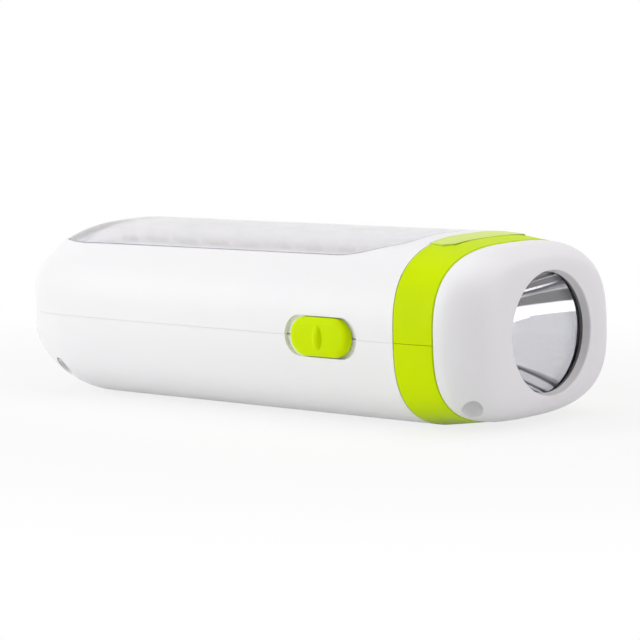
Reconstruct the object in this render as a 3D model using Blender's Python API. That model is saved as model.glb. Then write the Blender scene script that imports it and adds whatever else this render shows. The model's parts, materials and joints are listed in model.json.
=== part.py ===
"""A rechargeable hand torch with a spot lamp at the nose and a long side lamp in its roof.

Units are metres. +X is the way the spot lamp shines, +Z is up, and the lamp switch is on the
-Y side. The origin is under the middle of the torch, on the surface that the torch lies on.
Each piece is a solid of its own. The case, the lamp switch and the charging plug are three
bodies: the switch and the plug slide along X.
"""
from math import cos, pi, sin, sqrt, tau

import bmesh
import bpy
from mathutils import Matrix, Vector

# Outside of the torch
length = 0.1872
height = 0.0510
body_width = 0.0684
tail_narrowing = 0.0078
band_narrowing = 0.0010
band_lowering = 0.0032
band_width = 0.0133
head_length = 0.0134
face_narrowing = 0.0212
face_lowering = 0.0134
crease_start_share = 0.8
rest_cut = 0.0004
seam_drop = 0.0006
side_rounding = 0.0435
roof_rounding = 0.0319
tail_blunt = 0.0011
tail_spacing_power = 2.2
face_inner_share = 0.8
corner_power = 2.85
side_power = 2.75
roof_power = 1.8
head_power = 2.0

# Walls and fits
wall = 0.0022
neck_wall = 0.0018
gap = 0.0003
overrun = 0.0050
boss_wall = 0.0017
rib = 0.0016

# Facets
section_points = 40
tail_stations = 8
head_stations = 4
crease_steps = 3
round_sides = 30
small_sides = 12
corner_steps = 4
slot_steps = 6
window_rear_steps = 9
lead_steps = 2
merge_distance = 0.000001

# Spot lamp
face_margin = 0.0021
lip_step = 0.0005
lip_depth = 0.0024
lens_seat = 0.0024
seal_thickness = 0.0008
lens_thickness = 0.0015
reflector_overlap = 0.0002
reflector_focus_share = 0.1685
reflector_throat = 0.0040
reflector_wall = 0.0012
flange_thickness = 0.0013
bulkhead = 0.0020
star_radius = 0.0095
star_notch_share = 0.84
star_thickness = 0.0016
emitter_width = 0.0046
emitter_base = 0.0009
emitter_dome = 0.0017
emitter_dome_shares = (0.0, 0.4, 0.7, 0.9)
plate_width_share = 0.44
plate_height_share = 0.51
plate_thickness = 0.0015
plate_grip = 0.0035

# Case screws
screw_margin = 0.0059
front_screw_setback = 0.0081
rear_screw_setback = 0.0226
recess_radius = 0.0029
screw_seat = 0.0114
screw_reach = 0.0065
screw_radius = 0.0013
screw_head_radius = 0.0024
screw_head_height = 0.0018
screw_pad = 0.0020

# Green pad on the roof of the band
pad_rise = 0.0002
pad_depth = 0.0016
pad_margin = 0.0170
pad_corner = 0.0024
pad_rear_overhang = 0.0006
pad_front_setback = 0.0062

# Side lamp
window_front_setback = 0.0075
window_rear_setback = 0.0108
window_margin = 0.0091
window_narrowing = 0.0013
window_rear_reach = 0.0230
window_shoulder_setback = 0.0215
window_front_margin = 0.0075
window_corner = 0.0040
window_thickness = 0.0018
ledge_width = 0.0020
ledge_wall = 0.0018
pocket_depth_share = 0.18
pocket_wall = 0.0018
tray_wall = 0.0015
tray_floor = 0.0010
strip_width_share = 0.35
strip_thickness = 0.0012
strip_margin = 0.0045
led_width = 0.0036
led_height = 0.0014
led_columns = 9
led_row_share = 0.53
tray_screw_inset = 0.0106
tray_screw_offset_share = 0.4
tray_screw_radius = 0.0010
tray_screw_head_radius = 0.0021
tray_screw_head_height = 0.0016
tray_screw_length = 0.0045

# Lamp switch
switch_setback_share = 0.1655
switch_travel = 0.0025
knob_length = 0.0212
knob_height = 0.0107
knob_rise = 0.0013
knob_dome_shares = ((-0.23, 0.0), (0.35, 0.034), (0.72, 0.12), (1.0, 0.26))
knob_recess = 0.0014
knob_ridge_width = 0.0034
knob_ridge_height = 0.0076
knob_ridge_rise = 0.0012
knob_ridge_share = 0.8
knob_wall = 0.0020
stem_length = 0.0062
stem_height = 0.0044
lever_length = 0.0024
lever_height = 0.0018
lever_reach = 0.0048
lever_sunk = 0.0012
switch_length = 0.0190
switch_height = 0.0080
switch_depth = 0.0065

# Battery
battery_length_share = 0.355
battery_side_room = 0.0107
battery_top_room = 0.0080
battery_base = 0.0080
battery_setback_share = 0.287
cradle_height = 0.0100
cradle_rib_shares = (0.15, 0.5, 0.85)
strap_width = 0.0080
strap_thickness = 0.0012
strap_foot = 0.0044
strap_screw_radius = 0.0011
strap_screw_head_radius = 0.0020
strap_screw_head_height = 0.0014
strap_screw_length = 0.0060
tab_length = 0.0030
tab_width = 0.0045
tab_thickness = 0.0008

# Charging plug
mouth_margin = 0.0035
mouth_height_share = 0.196
mouth_depth_share = 0.0997
mouth_wall = 0.0018
cap_sunk = 0.0004
cap_wall = 0.0015
cap_leg_spread = 0.0200
cap_leg_width = 0.0030
cap_leg_height = 0.0060
carriage_length_share = 0.1184
carriage_width_share = 0.491
carriage_height_share = 0.18
carriage_sunk_share = 0.0604
plug_travel_share = 0.1184
pin_radius = 0.0020
pin_spread = 0.0095
pin_reach_share = 0.1558
pin_tail = 0.0070
pin_tip_shares = ((0.0, 0.5), (0.25, 0.85), (1.0, 1.0))
brush_width = 0.0030
brush_thickness = 0.0004
brush_setback_share = 0.28
brush_shoe = 0.0030
arm_width = 0.0028
arm_reach_share = 0.0685
post_length = 0.0044
post_height = 0.0032
slider_length = 0.0120
slider_height = 0.0072
slider_rise = 0.0008
slider_recess = 0.0016
slider_wall = 0.0020
slider_grip_width = 0.0009
slider_grips = 4

# Charging board
board_length_share = 0.20
board_width_share = 0.38
board_thickness = 0.0016
brush_room = 0.0027
board_setback_share = 0.1345
board_screw_inset = 0.0027
board_post_radius = 0.0024
board_screw_radius = 0.0010
board_screw_head_radius = 0.0019
board_screw_head_height = 0.0012
board_screw_length = 0.0050
capacitor_length_share = 0.375
capacitor_width_share = 0.23
capacitor_height_share = 0.8
filter_radius_share = 0.38
filter_length_share = 0.265
diode_radius_share = 0.2
diode_length_share = 0.16
diodes = 4

# Leads
lead_radius = 0.0006
lead_spread = 0.0030
lead_pitch = 0.0020
lead_edge = 0.0026
lead_rise = 0.0030
lead_hole_radius = 0.0115
lead_pad_radius = 0.0084

# Sizes and places that follow from the sizes above
nose_x = length / 2
tail_x = -length / 2
band_front_x = nose_x - head_length
band_rear_x = band_front_x - band_width
body_length = band_rear_x - tail_x
half_height = (height + rest_cut) / 2
axis_z = half_height - rest_cut
seam_z = axis_z - seam_drop
tail_width = body_width - tail_narrowing
band_front_width = body_width - band_narrowing
band_front_height = height - band_lowering
face_width = body_width - face_narrowing
face_height = height - face_lowering
screw_spread = tail_width / 2 - screw_margin
opening_radius = face_height / 2 - face_margin
lip_radius = opening_radius - lip_step
pocket_radius = opening_radius + lens_seat
seal_bore = lip_radius + gap / 2
reflector_mouth = opening_radius + reflector_overlap
reflector_focus = reflector_mouth * reflector_focus_share
plate_width = body_width * plate_width_share
plate_height = height * plate_height_share
pad_half_span = body_width / 2 - pad_margin
window_half_width = body_width / 2 - window_margin
window_rear_half_width = window_half_width - window_narrowing
window_front_half_width = window_half_width - window_front_margin
pocket_floor = half_height - height * pocket_depth_share
pocket_under_z = axis_z + pocket_floor - ledge_wall
strip_half_width = window_half_width * strip_width_share
led_row_spread = strip_half_width * led_row_share
tray_screw_offset = window_half_width * tray_screw_offset_share
neck_inset = wall + gap
lip_x = nose_x - lip_depth
seal_x = lip_x - gap - seal_thickness
lens_x = seal_x - gap - lens_thickness
flange_x = lens_x - gap - flange_thickness
bulkhead_x = flange_x - gap
neck_end_x = lens_x + gap
switch_x = band_rear_x - body_length * switch_setback_share
mouth_half_width = tail_width / 2 - mouth_margin
mouth_height = height * mouth_height_share
mouth_x = tail_x + body_length * mouth_depth_share
carriage_width = body_width * carriage_width_share
carriage_height = height * carriage_height_share
carriage_x = mouth_x + body_length * carriage_sunk_share
carriage_end_x = carriage_x + body_length * carriage_length_share
plug_travel = body_length * plug_travel_share
pin_reach = body_length * pin_reach_share
arm_reach = body_length * arm_reach_share
post_x = carriage_end_x + arm_reach - post_length
battery_width = body_width - 2 * battery_side_room
battery_height = pocket_under_z - battery_top_room - battery_base
battery_front_x = band_rear_x - body_length * battery_setback_share
battery_rear_x = battery_front_x - body_length * battery_length_share
board_length = body_length * board_length_share
board_half_width = carriage_width * board_width_share
board_lift = carriage_height / 2 + gap + brush_room
component_room = pocket_under_z - axis_z - board_lift - board_thickness
capacitor_length = board_length * capacitor_length_share
capacitor_width = 2 * board_half_width * capacitor_width_share
capacitor_height = component_room * capacitor_height_share
filter_radius = component_room * filter_radius_share
filter_length = board_length * filter_length_share
diode_radius = component_room * diode_radius_share
diode_length = 2 * board_half_width * diode_length_share
diode_pitch = capacitor_length / diodes
front_screw_x = nose_x - front_screw_setback
rear_screw_x = tail_x + rear_screw_setback
window_front_x = band_rear_x - window_front_setback
window_rear_x = tail_x + window_rear_setback


def clear_scene():
    """Start from an empty scene."""
    for item in list(bpy.data.objects):
        bpy.data.objects.remove(item, do_unlink=True)


def paint(holder, name, colour, roughness=0.4, metallic=0.0):
    """Give a mesh or a curve a plain material of its own."""
    material = bpy.data.materials.new(name)
    material.use_nodes = True
    surface = material.node_tree.nodes["Principled BSDF"]
    surface.inputs["Base Color"].default_value = (*colour, 1)
    surface.inputs["Roughness"].default_value = roughness
    surface.inputs["Metallic"].default_value = metallic
    holder.materials.append(material)


def middle_of(shape):
    """The middle of a shape's box."""
    low = [min(corner.co[axis] for corner in shape.verts) for axis in range(3)]
    high = [max(corner.co[axis] for corner in shape.verts) for axis in range(3)]
    return (Vector(low) + Vector(high)) / 2


def finish(name, shape, *look, origin=None):
    """Turn a bmesh into an object about its middle, or about the origin that is given.

    Without a look it is a cutter, which the model leaves out.
    """
    origin = middle_of(shape) if origin is None else Vector(origin)
    bmesh.ops.translate(shape, verts=shape.verts, vec=-origin)
    bmesh.ops.recalc_face_normals(shape, faces=shape.faces)
    mesh = bpy.data.meshes.new(name)
    shape.to_mesh(mesh)
    shape.free()
    piece = bpy.data.objects.new(name, mesh)
    piece.location = origin
    bpy.context.scene.collection.objects.link(piece)
    if look:
        paint(mesh, name, *look)
        mesh.shade_smooth()
        mesh.set_sharp_from_angle(angle=pi / 6)
    else:
        piece.hide_render = True
        piece.display_type = "WIRE"
    return piece


def combine(operation, piece, others):
    """Add one Boolean modifier that takes all the others together."""
    step = piece.modifiers.new(others[0].name, "BOOLEAN")
    step.operation = operation
    step.solver = "EXACT"
    if len(others) == 1:
        step.object = others[0]
        return
    step.operand_type = "COLLECTION"
    step.collection = bpy.data.collections.new(f"{piece.name}_{step.name}")
    for other in others:
        step.collection.objects.link(other)


def cut(piece, *cutters):
    combine("DIFFERENCE", piece, cutters)


def keep(piece, *masks):
    combine("INTERSECT", piece, masks)


def join(piece, *others):
    combine("UNION", piece, others)


def add_block(shape, low, high, bevel=0.0):
    """Add a block between two corners, with its edges rounded where a bevel is given."""
    low, high = Vector(low), Vector(high)
    place = Matrix.Translation((low + high) / 2) @ Matrix.Diagonal((*(high - low), 1))
    made = bmesh.ops.create_cube(shape, size=1, matrix=place)["verts"]
    if bevel:
        edges = {edge for corner in made for edge in corner.link_edges}
        bmesh.ops.bevel(shape, geom=list(edges), offset=bevel, segments=2, profile=0.5,
                        affect="EDGES", material=-1)


def add_rod(shape, start, end, radius, sides=small_sides, end_radius=None):
    """Add a round rod, or a cone where the two radii differ."""
    start, end = Vector(start), Vector(end)
    way = end - start
    place = Matrix.Translation((start + end) / 2) @ way.to_track_quat("Z", "Y").to_matrix().to_4x4()
    bmesh.ops.create_cone(shape, cap_ends=True, segments=sides, radius1=radius,
                          radius2=radius if end_radius is None else end_radius,
                          depth=way.length, matrix=place)


def add_loft(shape, rings):
    """Add a closed solid that runs through rings of equally many points."""
    loops = []
    for ring in rings:
        corners = [shape.verts.new(point) for point in ring]
        loops.append([shape.edges.new((corners[i - 1], corners[i])) for i in range(len(corners))])
    for near, far in zip(loops, loops[1:]):
        bmesh.ops.bridge_loops(shape, edges=near + far)
    bmesh.ops.edgeloop_fill(shape, edges=loops[0])
    bmesh.ops.edgeloop_fill(shape, edges=loops[-1])


def block(name, low, high, *look, bevel=0.0):
    shape = bmesh.new()
    add_block(shape, low, high, bevel)
    return finish(name, shape, *look)


def rod(name, start, end, radius, *look, sides=small_sides, end_radius=None):
    shape = bmesh.new()
    add_rod(shape, start, end, radius, sides, end_radius)
    return finish(name, shape, *look)


def loft(name, rings, *look):
    shape = bmesh.new()
    add_loft(shape, rings)
    return finish(name, shape, *look)


def turned(name, outline, *look, sides=round_sides):
    """Turn an outline of (x, radius) points round the spot lamp's axis."""
    shape = bmesh.new()
    corners = [shape.verts.new((x, 0, axis_z + radius)) for x, radius in outline]
    edges = [shape.edges.new((corners[i - 1], corners[i])) for i in range(len(corners))]
    bmesh.ops.spin(shape, geom=corners + edges, cent=(0, 0, axis_z), axis=(1, 0, 0), angle=tau,
                   steps=sides, use_merge=True)
    return finish(name, shape, *look)


def tube(name, route, radius, *look):
    """Run a round lead through a list of points."""
    line = bpy.data.curves.new(name, "CURVE")
    line.dimensions = "3D"
    line.bevel_depth = radius
    line.bevel_resolution = 1
    line.use_fill_caps = True
    spline = line.splines.new("POLY")
    spline.points.add(len(route) - 1)
    for point, place in zip(spline.points, route):
        point.co = (*(place - route[0]), 1)
    piece = bpy.data.objects.new(name, line)
    piece.location = route[0]
    bpy.context.scene.collection.objects.link(piece)
    paint(line, name, *look)
    return piece


def smooth_route(*points):
    """Points along a smooth curve through the given ones."""
    points = [Vector(point) for point in points]
    ends = [2 * points[0] - points[1], *points, 2 * points[-1] - points[-2]]
    route = [points[0]]
    for before, start, end, after in zip(ends, ends[1:], ends[2:], ends[3:]):
        for step in range(1, lead_steps + 1):
            t = step / lead_steps
            route.append((2 * start + (end - before) * t
                          + (2 * before - 5 * start + 4 * end - after) * t ** 2
                          + (3 * start - before - 3 * end + after) * t ** 3) / 2)
    return route


def screw(name, seat, head_up, radius, length_below, head_radius, head_height):
    """A pan-head screw, turned about its own axis. Its head stands on the seat, up or down."""
    crown = head_height / 3
    outline = ((0, -length_below), (radius, -length_below), (radius, 0), (head_radius, 0),
               (head_radius, head_height - crown), (head_radius - crown, head_height),
               (0, head_height))
    shape = bmesh.new()
    corners = [shape.verts.new((reach, 0, lift)) for reach, lift in outline]
    edges = [shape.edges.new(pair) for pair in zip(corners, corners[1:])]
    bmesh.ops.spin(shape, geom=corners + edges, cent=(0, 0, 0), axis=(0, 0, 1), angle=tau,
                   steps=small_sides, use_merge=True)
    bmesh.ops.remove_doubles(shape, verts=shape.verts, dist=merge_distance)
    piece = finish(name, shape, *steel, origin=(0, 0, 0))
    piece.location = seat
    piece.rotation_euler.x = 0 if head_up else pi
    return piece


# The torch's right side, where the switch is, and its left side
sides = (("right", -1), ("left", 1))


# Outside form
def rounding(x, reach, power):
    """The share of its size that the body keeps at x, where it rounds in to the tail."""
    depth = max(tail_x - tail_blunt + reach - x, 0) / reach
    return (1 - min(depth, 1) ** power) ** (1 / power)


def envelope(x, inset=0.0):
    """Half width and half height of the torch at x, less an even inset."""
    if x > band_front_x:
        drop = ((x - band_front_x) / head_length) ** head_power
        half_wide = (band_front_width - drop * (band_front_width - face_width)) / 2
        half_high = (band_front_height - drop * (band_front_height - face_height)) / 2
    elif x > band_rear_x:
        share = (x - band_rear_x) / band_width
        half_wide = (body_width + share * (band_front_width - body_width)) / 2
        half_high = half_height + share * (band_front_height / 2 - half_height)
    else:
        share = (x - tail_x) / (band_rear_x - tail_x)
        half_wide = (tail_width + share * (body_width - tail_width)) / 2
        half_wide *= rounding(x - inset, side_rounding, side_power)
        half_high = half_height * rounding(x - inset, roof_rounding, roof_power)
    return half_wide - inset, half_high - inset


def oval(x, half_wide, half_high, floor):
    """A ring of points across the torch, with flat-sided corners and a flat underside."""
    ring = []
    for step in range(section_points):
        across = cos(tau * step / section_points)
        up = sin(tau * step / section_points)
        y = half_wide * abs(across) ** (2 / corner_power)
        z = half_high * abs(up) ** (2 / corner_power)
        y = y if across > 0 else -y
        z = z if up > 0 else -z
        ring.append(Vector((x, y, max(axis_z + z, floor))))
    return ring


def section(x, inset=0.0):
    half_wide, half_high = envelope(x, inset)
    return oval(x, half_wide, half_high, inset)


def tail_rings(inset):
    """Rings from the tail to where the sides run straight, closer together at the tail."""
    start = tail_x + inset
    end = tail_x - tail_blunt + side_rounding + inset
    shares = [(step / tail_stations) ** tail_spacing_power for step in range(tail_stations + 1)]
    return [section(start + share * (end - start), inset) for share in shares]


def head_rings(inset, end_x):
    """Rings of the head's curve, from its rear face to end_x."""
    rings = []
    for step in range(head_stations + 1):
        share = sqrt(step / head_stations)
        rings.append(section(band_front_x + share * (end_x - band_front_x), inset))
    return rings


def shift(ring, along):
    return [point + Vector((along, 0, 0)) for point in ring]


def body_form(name, inset):
    """The body's outside with an even inset, from the tail to past the band's rear edge."""
    rings = tail_rings(inset)
    rings.append(section(band_rear_x, inset))
    return loft(name, rings)


def side_y(x):
    """The half width of the outside at the seam."""
    return envelope(x)[0]


# Outlines
def ring_x(x, y, radius):
    """A round ring of points across the torch, at the lamp's height."""
    angles = [tau * step / small_sides for step in range(small_sides)]
    return [Vector((x, y + radius * cos(angle), axis_z + radius * sin(angle))) for angle in angles]


def obround(long, high, steps=slot_steps):
    """Points of a slot shape, long in its first direction."""
    radius = high / 2
    straight = long / 2 - radius
    points = []
    for step in range(2 * steps + 2):
        end = 1 if step <= steps else -1
        angle = pi * (step - (0 if step <= steps else 1)) / steps - pi / 2
        points.append((end * straight + radius * cos(angle), radius * sin(angle)))
    return points


def eased(before, corner, after, reach):
    """Points of a corner that is rounded over a reach on both sides."""
    corner = Vector(corner)
    start = corner + (Vector(before) - corner).normalized() * reach
    end = corner + (Vector(after) - corner).normalized() * reach
    points = []
    for step in range(corner_steps):
        t = step / (corner_steps - 1)
        points.append(start * (1 - t) ** 2 + corner * 2 * t * (1 - t) + end * t ** 2)
    return points


def window_outline(grow):
    """The side lamp's window from above: a half ellipse at the tail, two cut corners in front."""
    rear = window_rear_x - grow
    front = window_front_x + grow
    rear_half = window_rear_half_width + grow
    ellipse_end = rear + window_rear_reach
    right = []
    for step in range(window_rear_steps + 1):
        angle = pi / 2 * step / window_rear_steps
        right.append(Vector((ellipse_end - window_rear_reach * cos(angle),
                             -rear_half * sin(angle))))
    shoulder = (band_rear_x - window_shoulder_setback + grow / 2, -window_half_width - grow)
    corner = (front, -window_front_half_width - grow / 2)
    right += eased((ellipse_end, -rear_half), shoulder, corner, window_corner)
    right += eased(shoulder, corner, (front, 0), window_corner)
    left = [Vector((point.x, -point.y)) for point in reversed(right[1:])]
    return right + left


def upright(name, outline, low, high, *look):
    """A prism that stands on its outline."""
    return loft(name, [[Vector((x, y, z)) for x, y in outline] for z in (low, high)], *look)


def lengthwise(name, outline, low, high, *look):
    """A prism along X, from an outline in Y and Z about the lamp's axis."""
    return loft(name, [[Vector((x, y, axis_z + z)) for y, z in outline] for x in (low, high)], *look)


def crosswise(name, outline, x, z, low, high, *look):
    """A prism along Y, from an outline in X and Z about a point of the side."""
    return loft(name, [[Vector((x + u, y, z + w)) for u, w in outline] for y in (low, high)], *look)


def above_seam(name, rings, upper, *look):
    """The half of a lofted solid that lies on one side of the seam."""
    shape = bmesh.new()
    add_loft(shape, rings)
    level = seam_z + (gap / 2 if upper else -gap / 2)
    parts = shape.verts[:] + shape.edges[:] + shape.faces[:]
    sliced = bmesh.ops.bisect_plane(shape, geom=parts, plane_co=(0, 0, level), plane_no=(0, 0, 1),
                                    clear_inner=upper, clear_outer=not upper)
    rim = [item for item in sliced["geom_cut"] if isinstance(item, bmesh.types.BMEdge)]
    bmesh.ops.edgeloop_fill(shape, edges=rim)
    return finish(name, shape, *look)


white = ((0.93, 0.93, 0.93), 0.35)
green = ((0.62, 0.86, 0.02), 0.38)
clear = ((0.90, 0.91, 0.93), 0.15)
steel = ((0.62, 0.62, 0.63), 0.30, 1.0)
tin = ((0.75, 0.74, 0.72), 0.28, 1.0)
board_green = ((0.05, 0.30, 0.14), 0.45)
dark = ((0.05, 0.05, 0.055), 0.50)
copper = ((0.80, 0.58, 0.25), 0.35, 1.0)
red = ((0.60, 0.03, 0.03), 0.40)
black = ((0.03, 0.03, 0.035), 0.40)


# Case shells
def shell_rings():
    """The shells' outside: the body, and the neck that carries the band and the head."""
    rings = tail_rings(0.0)
    rings.append(section(band_rear_x))
    rings.append(section(band_rear_x, neck_inset))
    rings.append(section(band_front_x, neck_inset))
    rings += head_rings(neck_inset, neck_end_x)[1:]
    return rings


def cavity(name):
    """The space inside the shells, which ends at the bulkhead behind the reflector's flange."""
    inner = neck_inset + neck_wall
    shoulder_x = band_rear_x - wall
    end_x = bulkhead_x - bulkhead
    rings = tail_rings(wall)
    rings.append(section(shoulder_x, wall))
    rings.append([Vector((shoulder_x, y, z)) for _, y, z in section(band_rear_x, inner)])
    rings.append(section(band_rear_x, inner))
    rings.append(section(band_front_x, inner))
    rings.append(section(end_x, inner))
    return loft(name, rings)


def screw_places():
    """The four case screws' places from above."""
    return [(x, y) for x in (front_screw_x, rear_screw_x) for y in (-screw_spread, screw_spread)]


def case_cutters():
    """What is cut from both shells: the openings of the mouth, the switch, the slider and lamp."""
    cutters = []
    ring = obround(2 * mouth_half_width, mouth_height)
    cutters.append(lengthwise("mouth_cutter", ring, tail_x - overrun, mouth_x))
    half_wide = carriage_width / 2 + gap
    half_high = carriage_height / 2 + gap
    cutters.append(block("carriage_way_cutter", (mouth_x - overrun, -half_wide, axis_z - half_high),
                         (mouth_x + overrun, half_wide, axis_z + half_high)))
    cutters.append(knob_way(gap + switch_travel, "switch_recess_cutter"))
    floor_y = -side_y(switch_x) + knob_recess
    half_long = stem_length / 2 + switch_travel + gap
    half_high = stem_height / 2 + gap
    cutters.append(block("stem_slot_cutter",
                         (switch_x - half_long, floor_y - gap, seam_z - half_high),
                         (switch_x + half_long, floor_y + overrun, seam_z + half_high)))
    cutters.append(slider_way())
    half_high = post_height / 2 + gap
    cutters.append(block("post_slot_cutter",
                         (post_x - plug_travel - post_length / 2 - gap, slider_floor() - overrun,
                          axis_z - half_high),
                         (post_x + post_length / 2 + gap, slider_floor() + gap,
                          axis_z + half_high)))
    cutters.append(rod("reflector_bore_cutter", (bulkhead_x - bulkhead - overrun, 0, axis_z),
                       (neck_end_x + overrun, 0, axis_z), reflector_outer(bulkhead_x) + gap,
                       sides=round_sides))
    half_wide = pocket_radius + gap
    cutters.append(block("flange_way_cutter", (bulkhead_x, -half_wide, -overrun),
                         (neck_end_x + overrun, half_wide, height + overrun)))
    half_wide = plate_width / 2 + gap
    half_high = plate_height / 2 + gap
    cutters.append(block("plate_slot_cutter", (plate_x() - gap, -half_wide, axis_z - half_high),
                         (plate_x() + plate_thickness + gap, half_wide, axis_z + half_high)))
    return cutters


def upper_shell(case_cuts):
    """Roof half of the case, with the side lamp's pocket and the bosses that the screws bite."""
    shell = above_seam("upper_shell", shell_rings(), True, *white)
    space = cavity("upper_cavity")
    ribs = bmesh.new()
    for x, y in screw_places():
        add_rod(ribs, (x, y, seam_z - overrun), (x, y, height), screw_radius + gap + boss_wall)
    cut(space, finish("upper_bosses", ribs))
    thick = upright("pocket_thickness", window_outline(pocket_wall),
                    pocket_under_z, height + overrun)
    cut(space, thick, mouth_surround("upper_mouth_wall"), switch_pad("upper_switch_pad"),
        slider_pad("upper_slider_pad"), plate_grips("upper_plate_grip", True))
    posts = bmesh.new()
    for x in board_screws():
        add_rod(posts, (x, 0, board_top() + gap), (x, 0, axis_z + pocket_floor), board_post_radius)
    for x, y in tray_screw_places():
        add_rod(posts, (x, y, tray_level() - tray_screw_length), (x, y, axis_z + pocket_floor),
                tray_screw_radius + gap + boss_wall)
    cut(space, finish("roof_posts", posts))
    guides = bmesh.new()
    for side in (-1, 1):
        y = side * (board_half_width + gap + rib)
        add_block(guides, (carriage_x + gap, y - rib / 2, axis_z + carriage_height / 2 + gap),
                  (carriage_end_x + gap, y + rib / 2, axis_z + pocket_floor))
    cut(space, finish("carriage_guides", guides))
    cut(shell, space)

    pocket = upright("lamp_pocket_cutter", window_outline(-ledge_width), axis_z + pocket_floor,
                     height + overrun)
    opening = upright("window_opening_cutter", window_outline(gap), axis_z, height + overrun)
    cut(opening, body_form("ledge_form", window_thickness + gap))
    holes = bmesh.new()
    for x, y in screw_places():
        add_rod(holes, (x, y, seam_z - overrun), (x, y, seam_z + screw_reach + gap),
                screw_radius + gap)
    for x in board_screws():
        top = board_top() - board_thickness + board_screw_length + gap
        add_rod(holes, (x, 0, board_top()), (x, 0, top), board_screw_radius + gap)
    for x, y in tray_screw_places():
        add_rod(holes, (x, y, tray_level() - tray_screw_length - gap), (x, y, tray_level()),
                tray_screw_radius + gap)
    for y in (-lead_spread, lead_spread):
        add_rod(holes, (lamp_lead_x(), y, axis_z), (lamp_lead_x(), y, tray_level()),
                lead_radius + gap)
    cut(shell, pocket, opening, pad_seat(), finish("roof_holes", holes), *case_cuts)
    return shell


def lower_shell(case_cuts):
    """Floor half of the case, with the battery's cradle, the plug's runners and screw bosses."""
    shell = above_seam("lower_shell", shell_rings(), False, *white)
    space = cavity("lower_cavity")
    bosses = bmesh.new()
    for x, y in screw_places():
        add_rod(bosses, (x, y, -overrun), (x, y, seam_z + overrun), recess_radius + boss_wall)
    cut(space, finish("lower_bosses", bosses), mouth_surround("lower_mouth_wall"),
        switch_pad("lower_switch_pad"), slider_pad("lower_slider_pad"),
        plate_grips("lower_plate_grip", False))
    cradle = bmesh.new()
    half_wide = battery_width / 2 + gap
    for share in cradle_rib_shares:
        x = battery_rear_x + share * (battery_front_x - battery_rear_x)
        add_block(cradle, (x - rib / 2, -battery_width / 2, -overrun),
                  (x + rib / 2, battery_width / 2, battery_base - gap))
    side_ribs = bmesh.new()
    half_strap = strap_width / 2 + gap
    for side in (-1, 1):
        y = side * (half_wide + rib / 2)
        for start, end in ((battery_rear_x, strap_x() - half_strap),
                           (strap_x() + half_strap, battery_front_x)):
            add_block(side_ribs, (start, y - rib / 2, -overrun),
                      (end, y + rib / 2, battery_base + cradle_height))
    for x in (battery_rear_x - gap - rib / 2, battery_front_x + gap + rib / 2):
        add_block(side_ribs, (x - rib / 2, -battery_width / 3, -overrun),
                  (x + rib / 2, battery_width / 3, battery_base + cradle_height / 2))
    cut(space, finish("cradle_ribs", cradle), finish("cradle_sides", side_ribs))
    strap_bosses = bmesh.new()
    for y in (-strap_screw_y(), strap_screw_y()):
        add_rod(strap_bosses, (strap_x(), y, -overrun), (strap_x(), y, strap_foot_z() - gap),
                strap_screw_radius + gap + boss_wall)
    runners = bmesh.new()
    for side in (-1, 1):
        y = side * pin_spread
        add_block(runners, (mouth_x, y - rib / 2, -overrun),
                  (carriage_end_x + gap, y + rib / 2, axis_z - carriage_height / 2 - gap))
        y = side * (carriage_width / 2 + gap + rib / 2)
        add_block(runners, (mouth_x, y - rib / 2, -overrun),
                  (carriage_end_x + gap, y + rib / 2, axis_z - post_height / 2 - 3 * gap))
    switch_seat = bmesh.new()
    low_y = switch_front_y()
    reach = switch_length / 2 + gap + rib / 2
    for x in (switch_x - reach, switch_x + reach):
        add_block(switch_seat, (x - rib / 2, low_y - wall, -overrun),
                  (x + rib / 2, low_y + switch_depth, seam_z - gap))
    add_block(switch_seat, (switch_x - switch_length / 4, low_y - wall, -overrun),
              (switch_x + switch_length / 4, low_y + switch_depth, seam_z - switch_height / 2 - gap))
    cut(space, finish("strap_bosses", strap_bosses), finish("plug_runners", runners),
        finish("switch_seat", switch_seat))
    cut(shell, space)

    holes = bmesh.new()
    for x, y in screw_places():
        add_rod(holes, (x, y, -overrun), (x, y, seam_z + overrun), screw_radius + gap)
    sinks = bmesh.new()
    for y in (-screw_spread, screw_spread):
        add_rod(sinks, (rear_screw_x, y, -overrun), (rear_screw_x, y, screw_seat), recess_radius)
        add_rod(sinks, (front_screw_x, y, -overrun),
                (front_screw_x, y, screw_seat + screw_pad + gap), recess_radius + boss_wall + gap)
    for y in (-strap_screw_y(), strap_screw_y()):
        add_rod(sinks, (strap_x(), y, strap_foot_z() - strap_screw_length),
                (strap_x(), y, strap_foot_z() + gap), strap_screw_radius + gap)
    cut(shell, finish("screw_holes", holes), finish("screw_sinks", sinks), *case_cuts)
    return shell


def case_screws():
    """Screws up through the floor: two at the tail hold the shells, two in front hold the head."""
    shank = seam_z + screw_reach - screw_seat
    for end, x in (("rear", rear_screw_x), ("head", front_screw_x)):
        for side, sign in sides:
            screw(f"{end}_screw_{side}", (x, sign * screw_spread, screw_seat - gap / 2), False,
                  screw_radius, shank, screw_head_radius, screw_head_height)


# Band
def band_rings():
    """The band's ring between the body and the head, flush with both."""
    return [section(x) for x in (band_rear_x + gap / 2, band_front_x - gap / 2)]


def band():
    """Green band in two halves, which clip round the neck and meet at the seam."""
    inner = [section(band_rear_x, wall), section(band_front_x, wall)]
    bore = [shift(inner[0], -overrun), inner[0], inner[1], shift(inner[1], overrun)]
    hole = loft("band_bore", bore)
    upper = above_seam("band_upper", band_rings(), True, *green)
    lower = above_seam("band_lower", band_rings(), False, *green)
    cut(upper, hole, pad_seat())
    cut(lower, hole)


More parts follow.
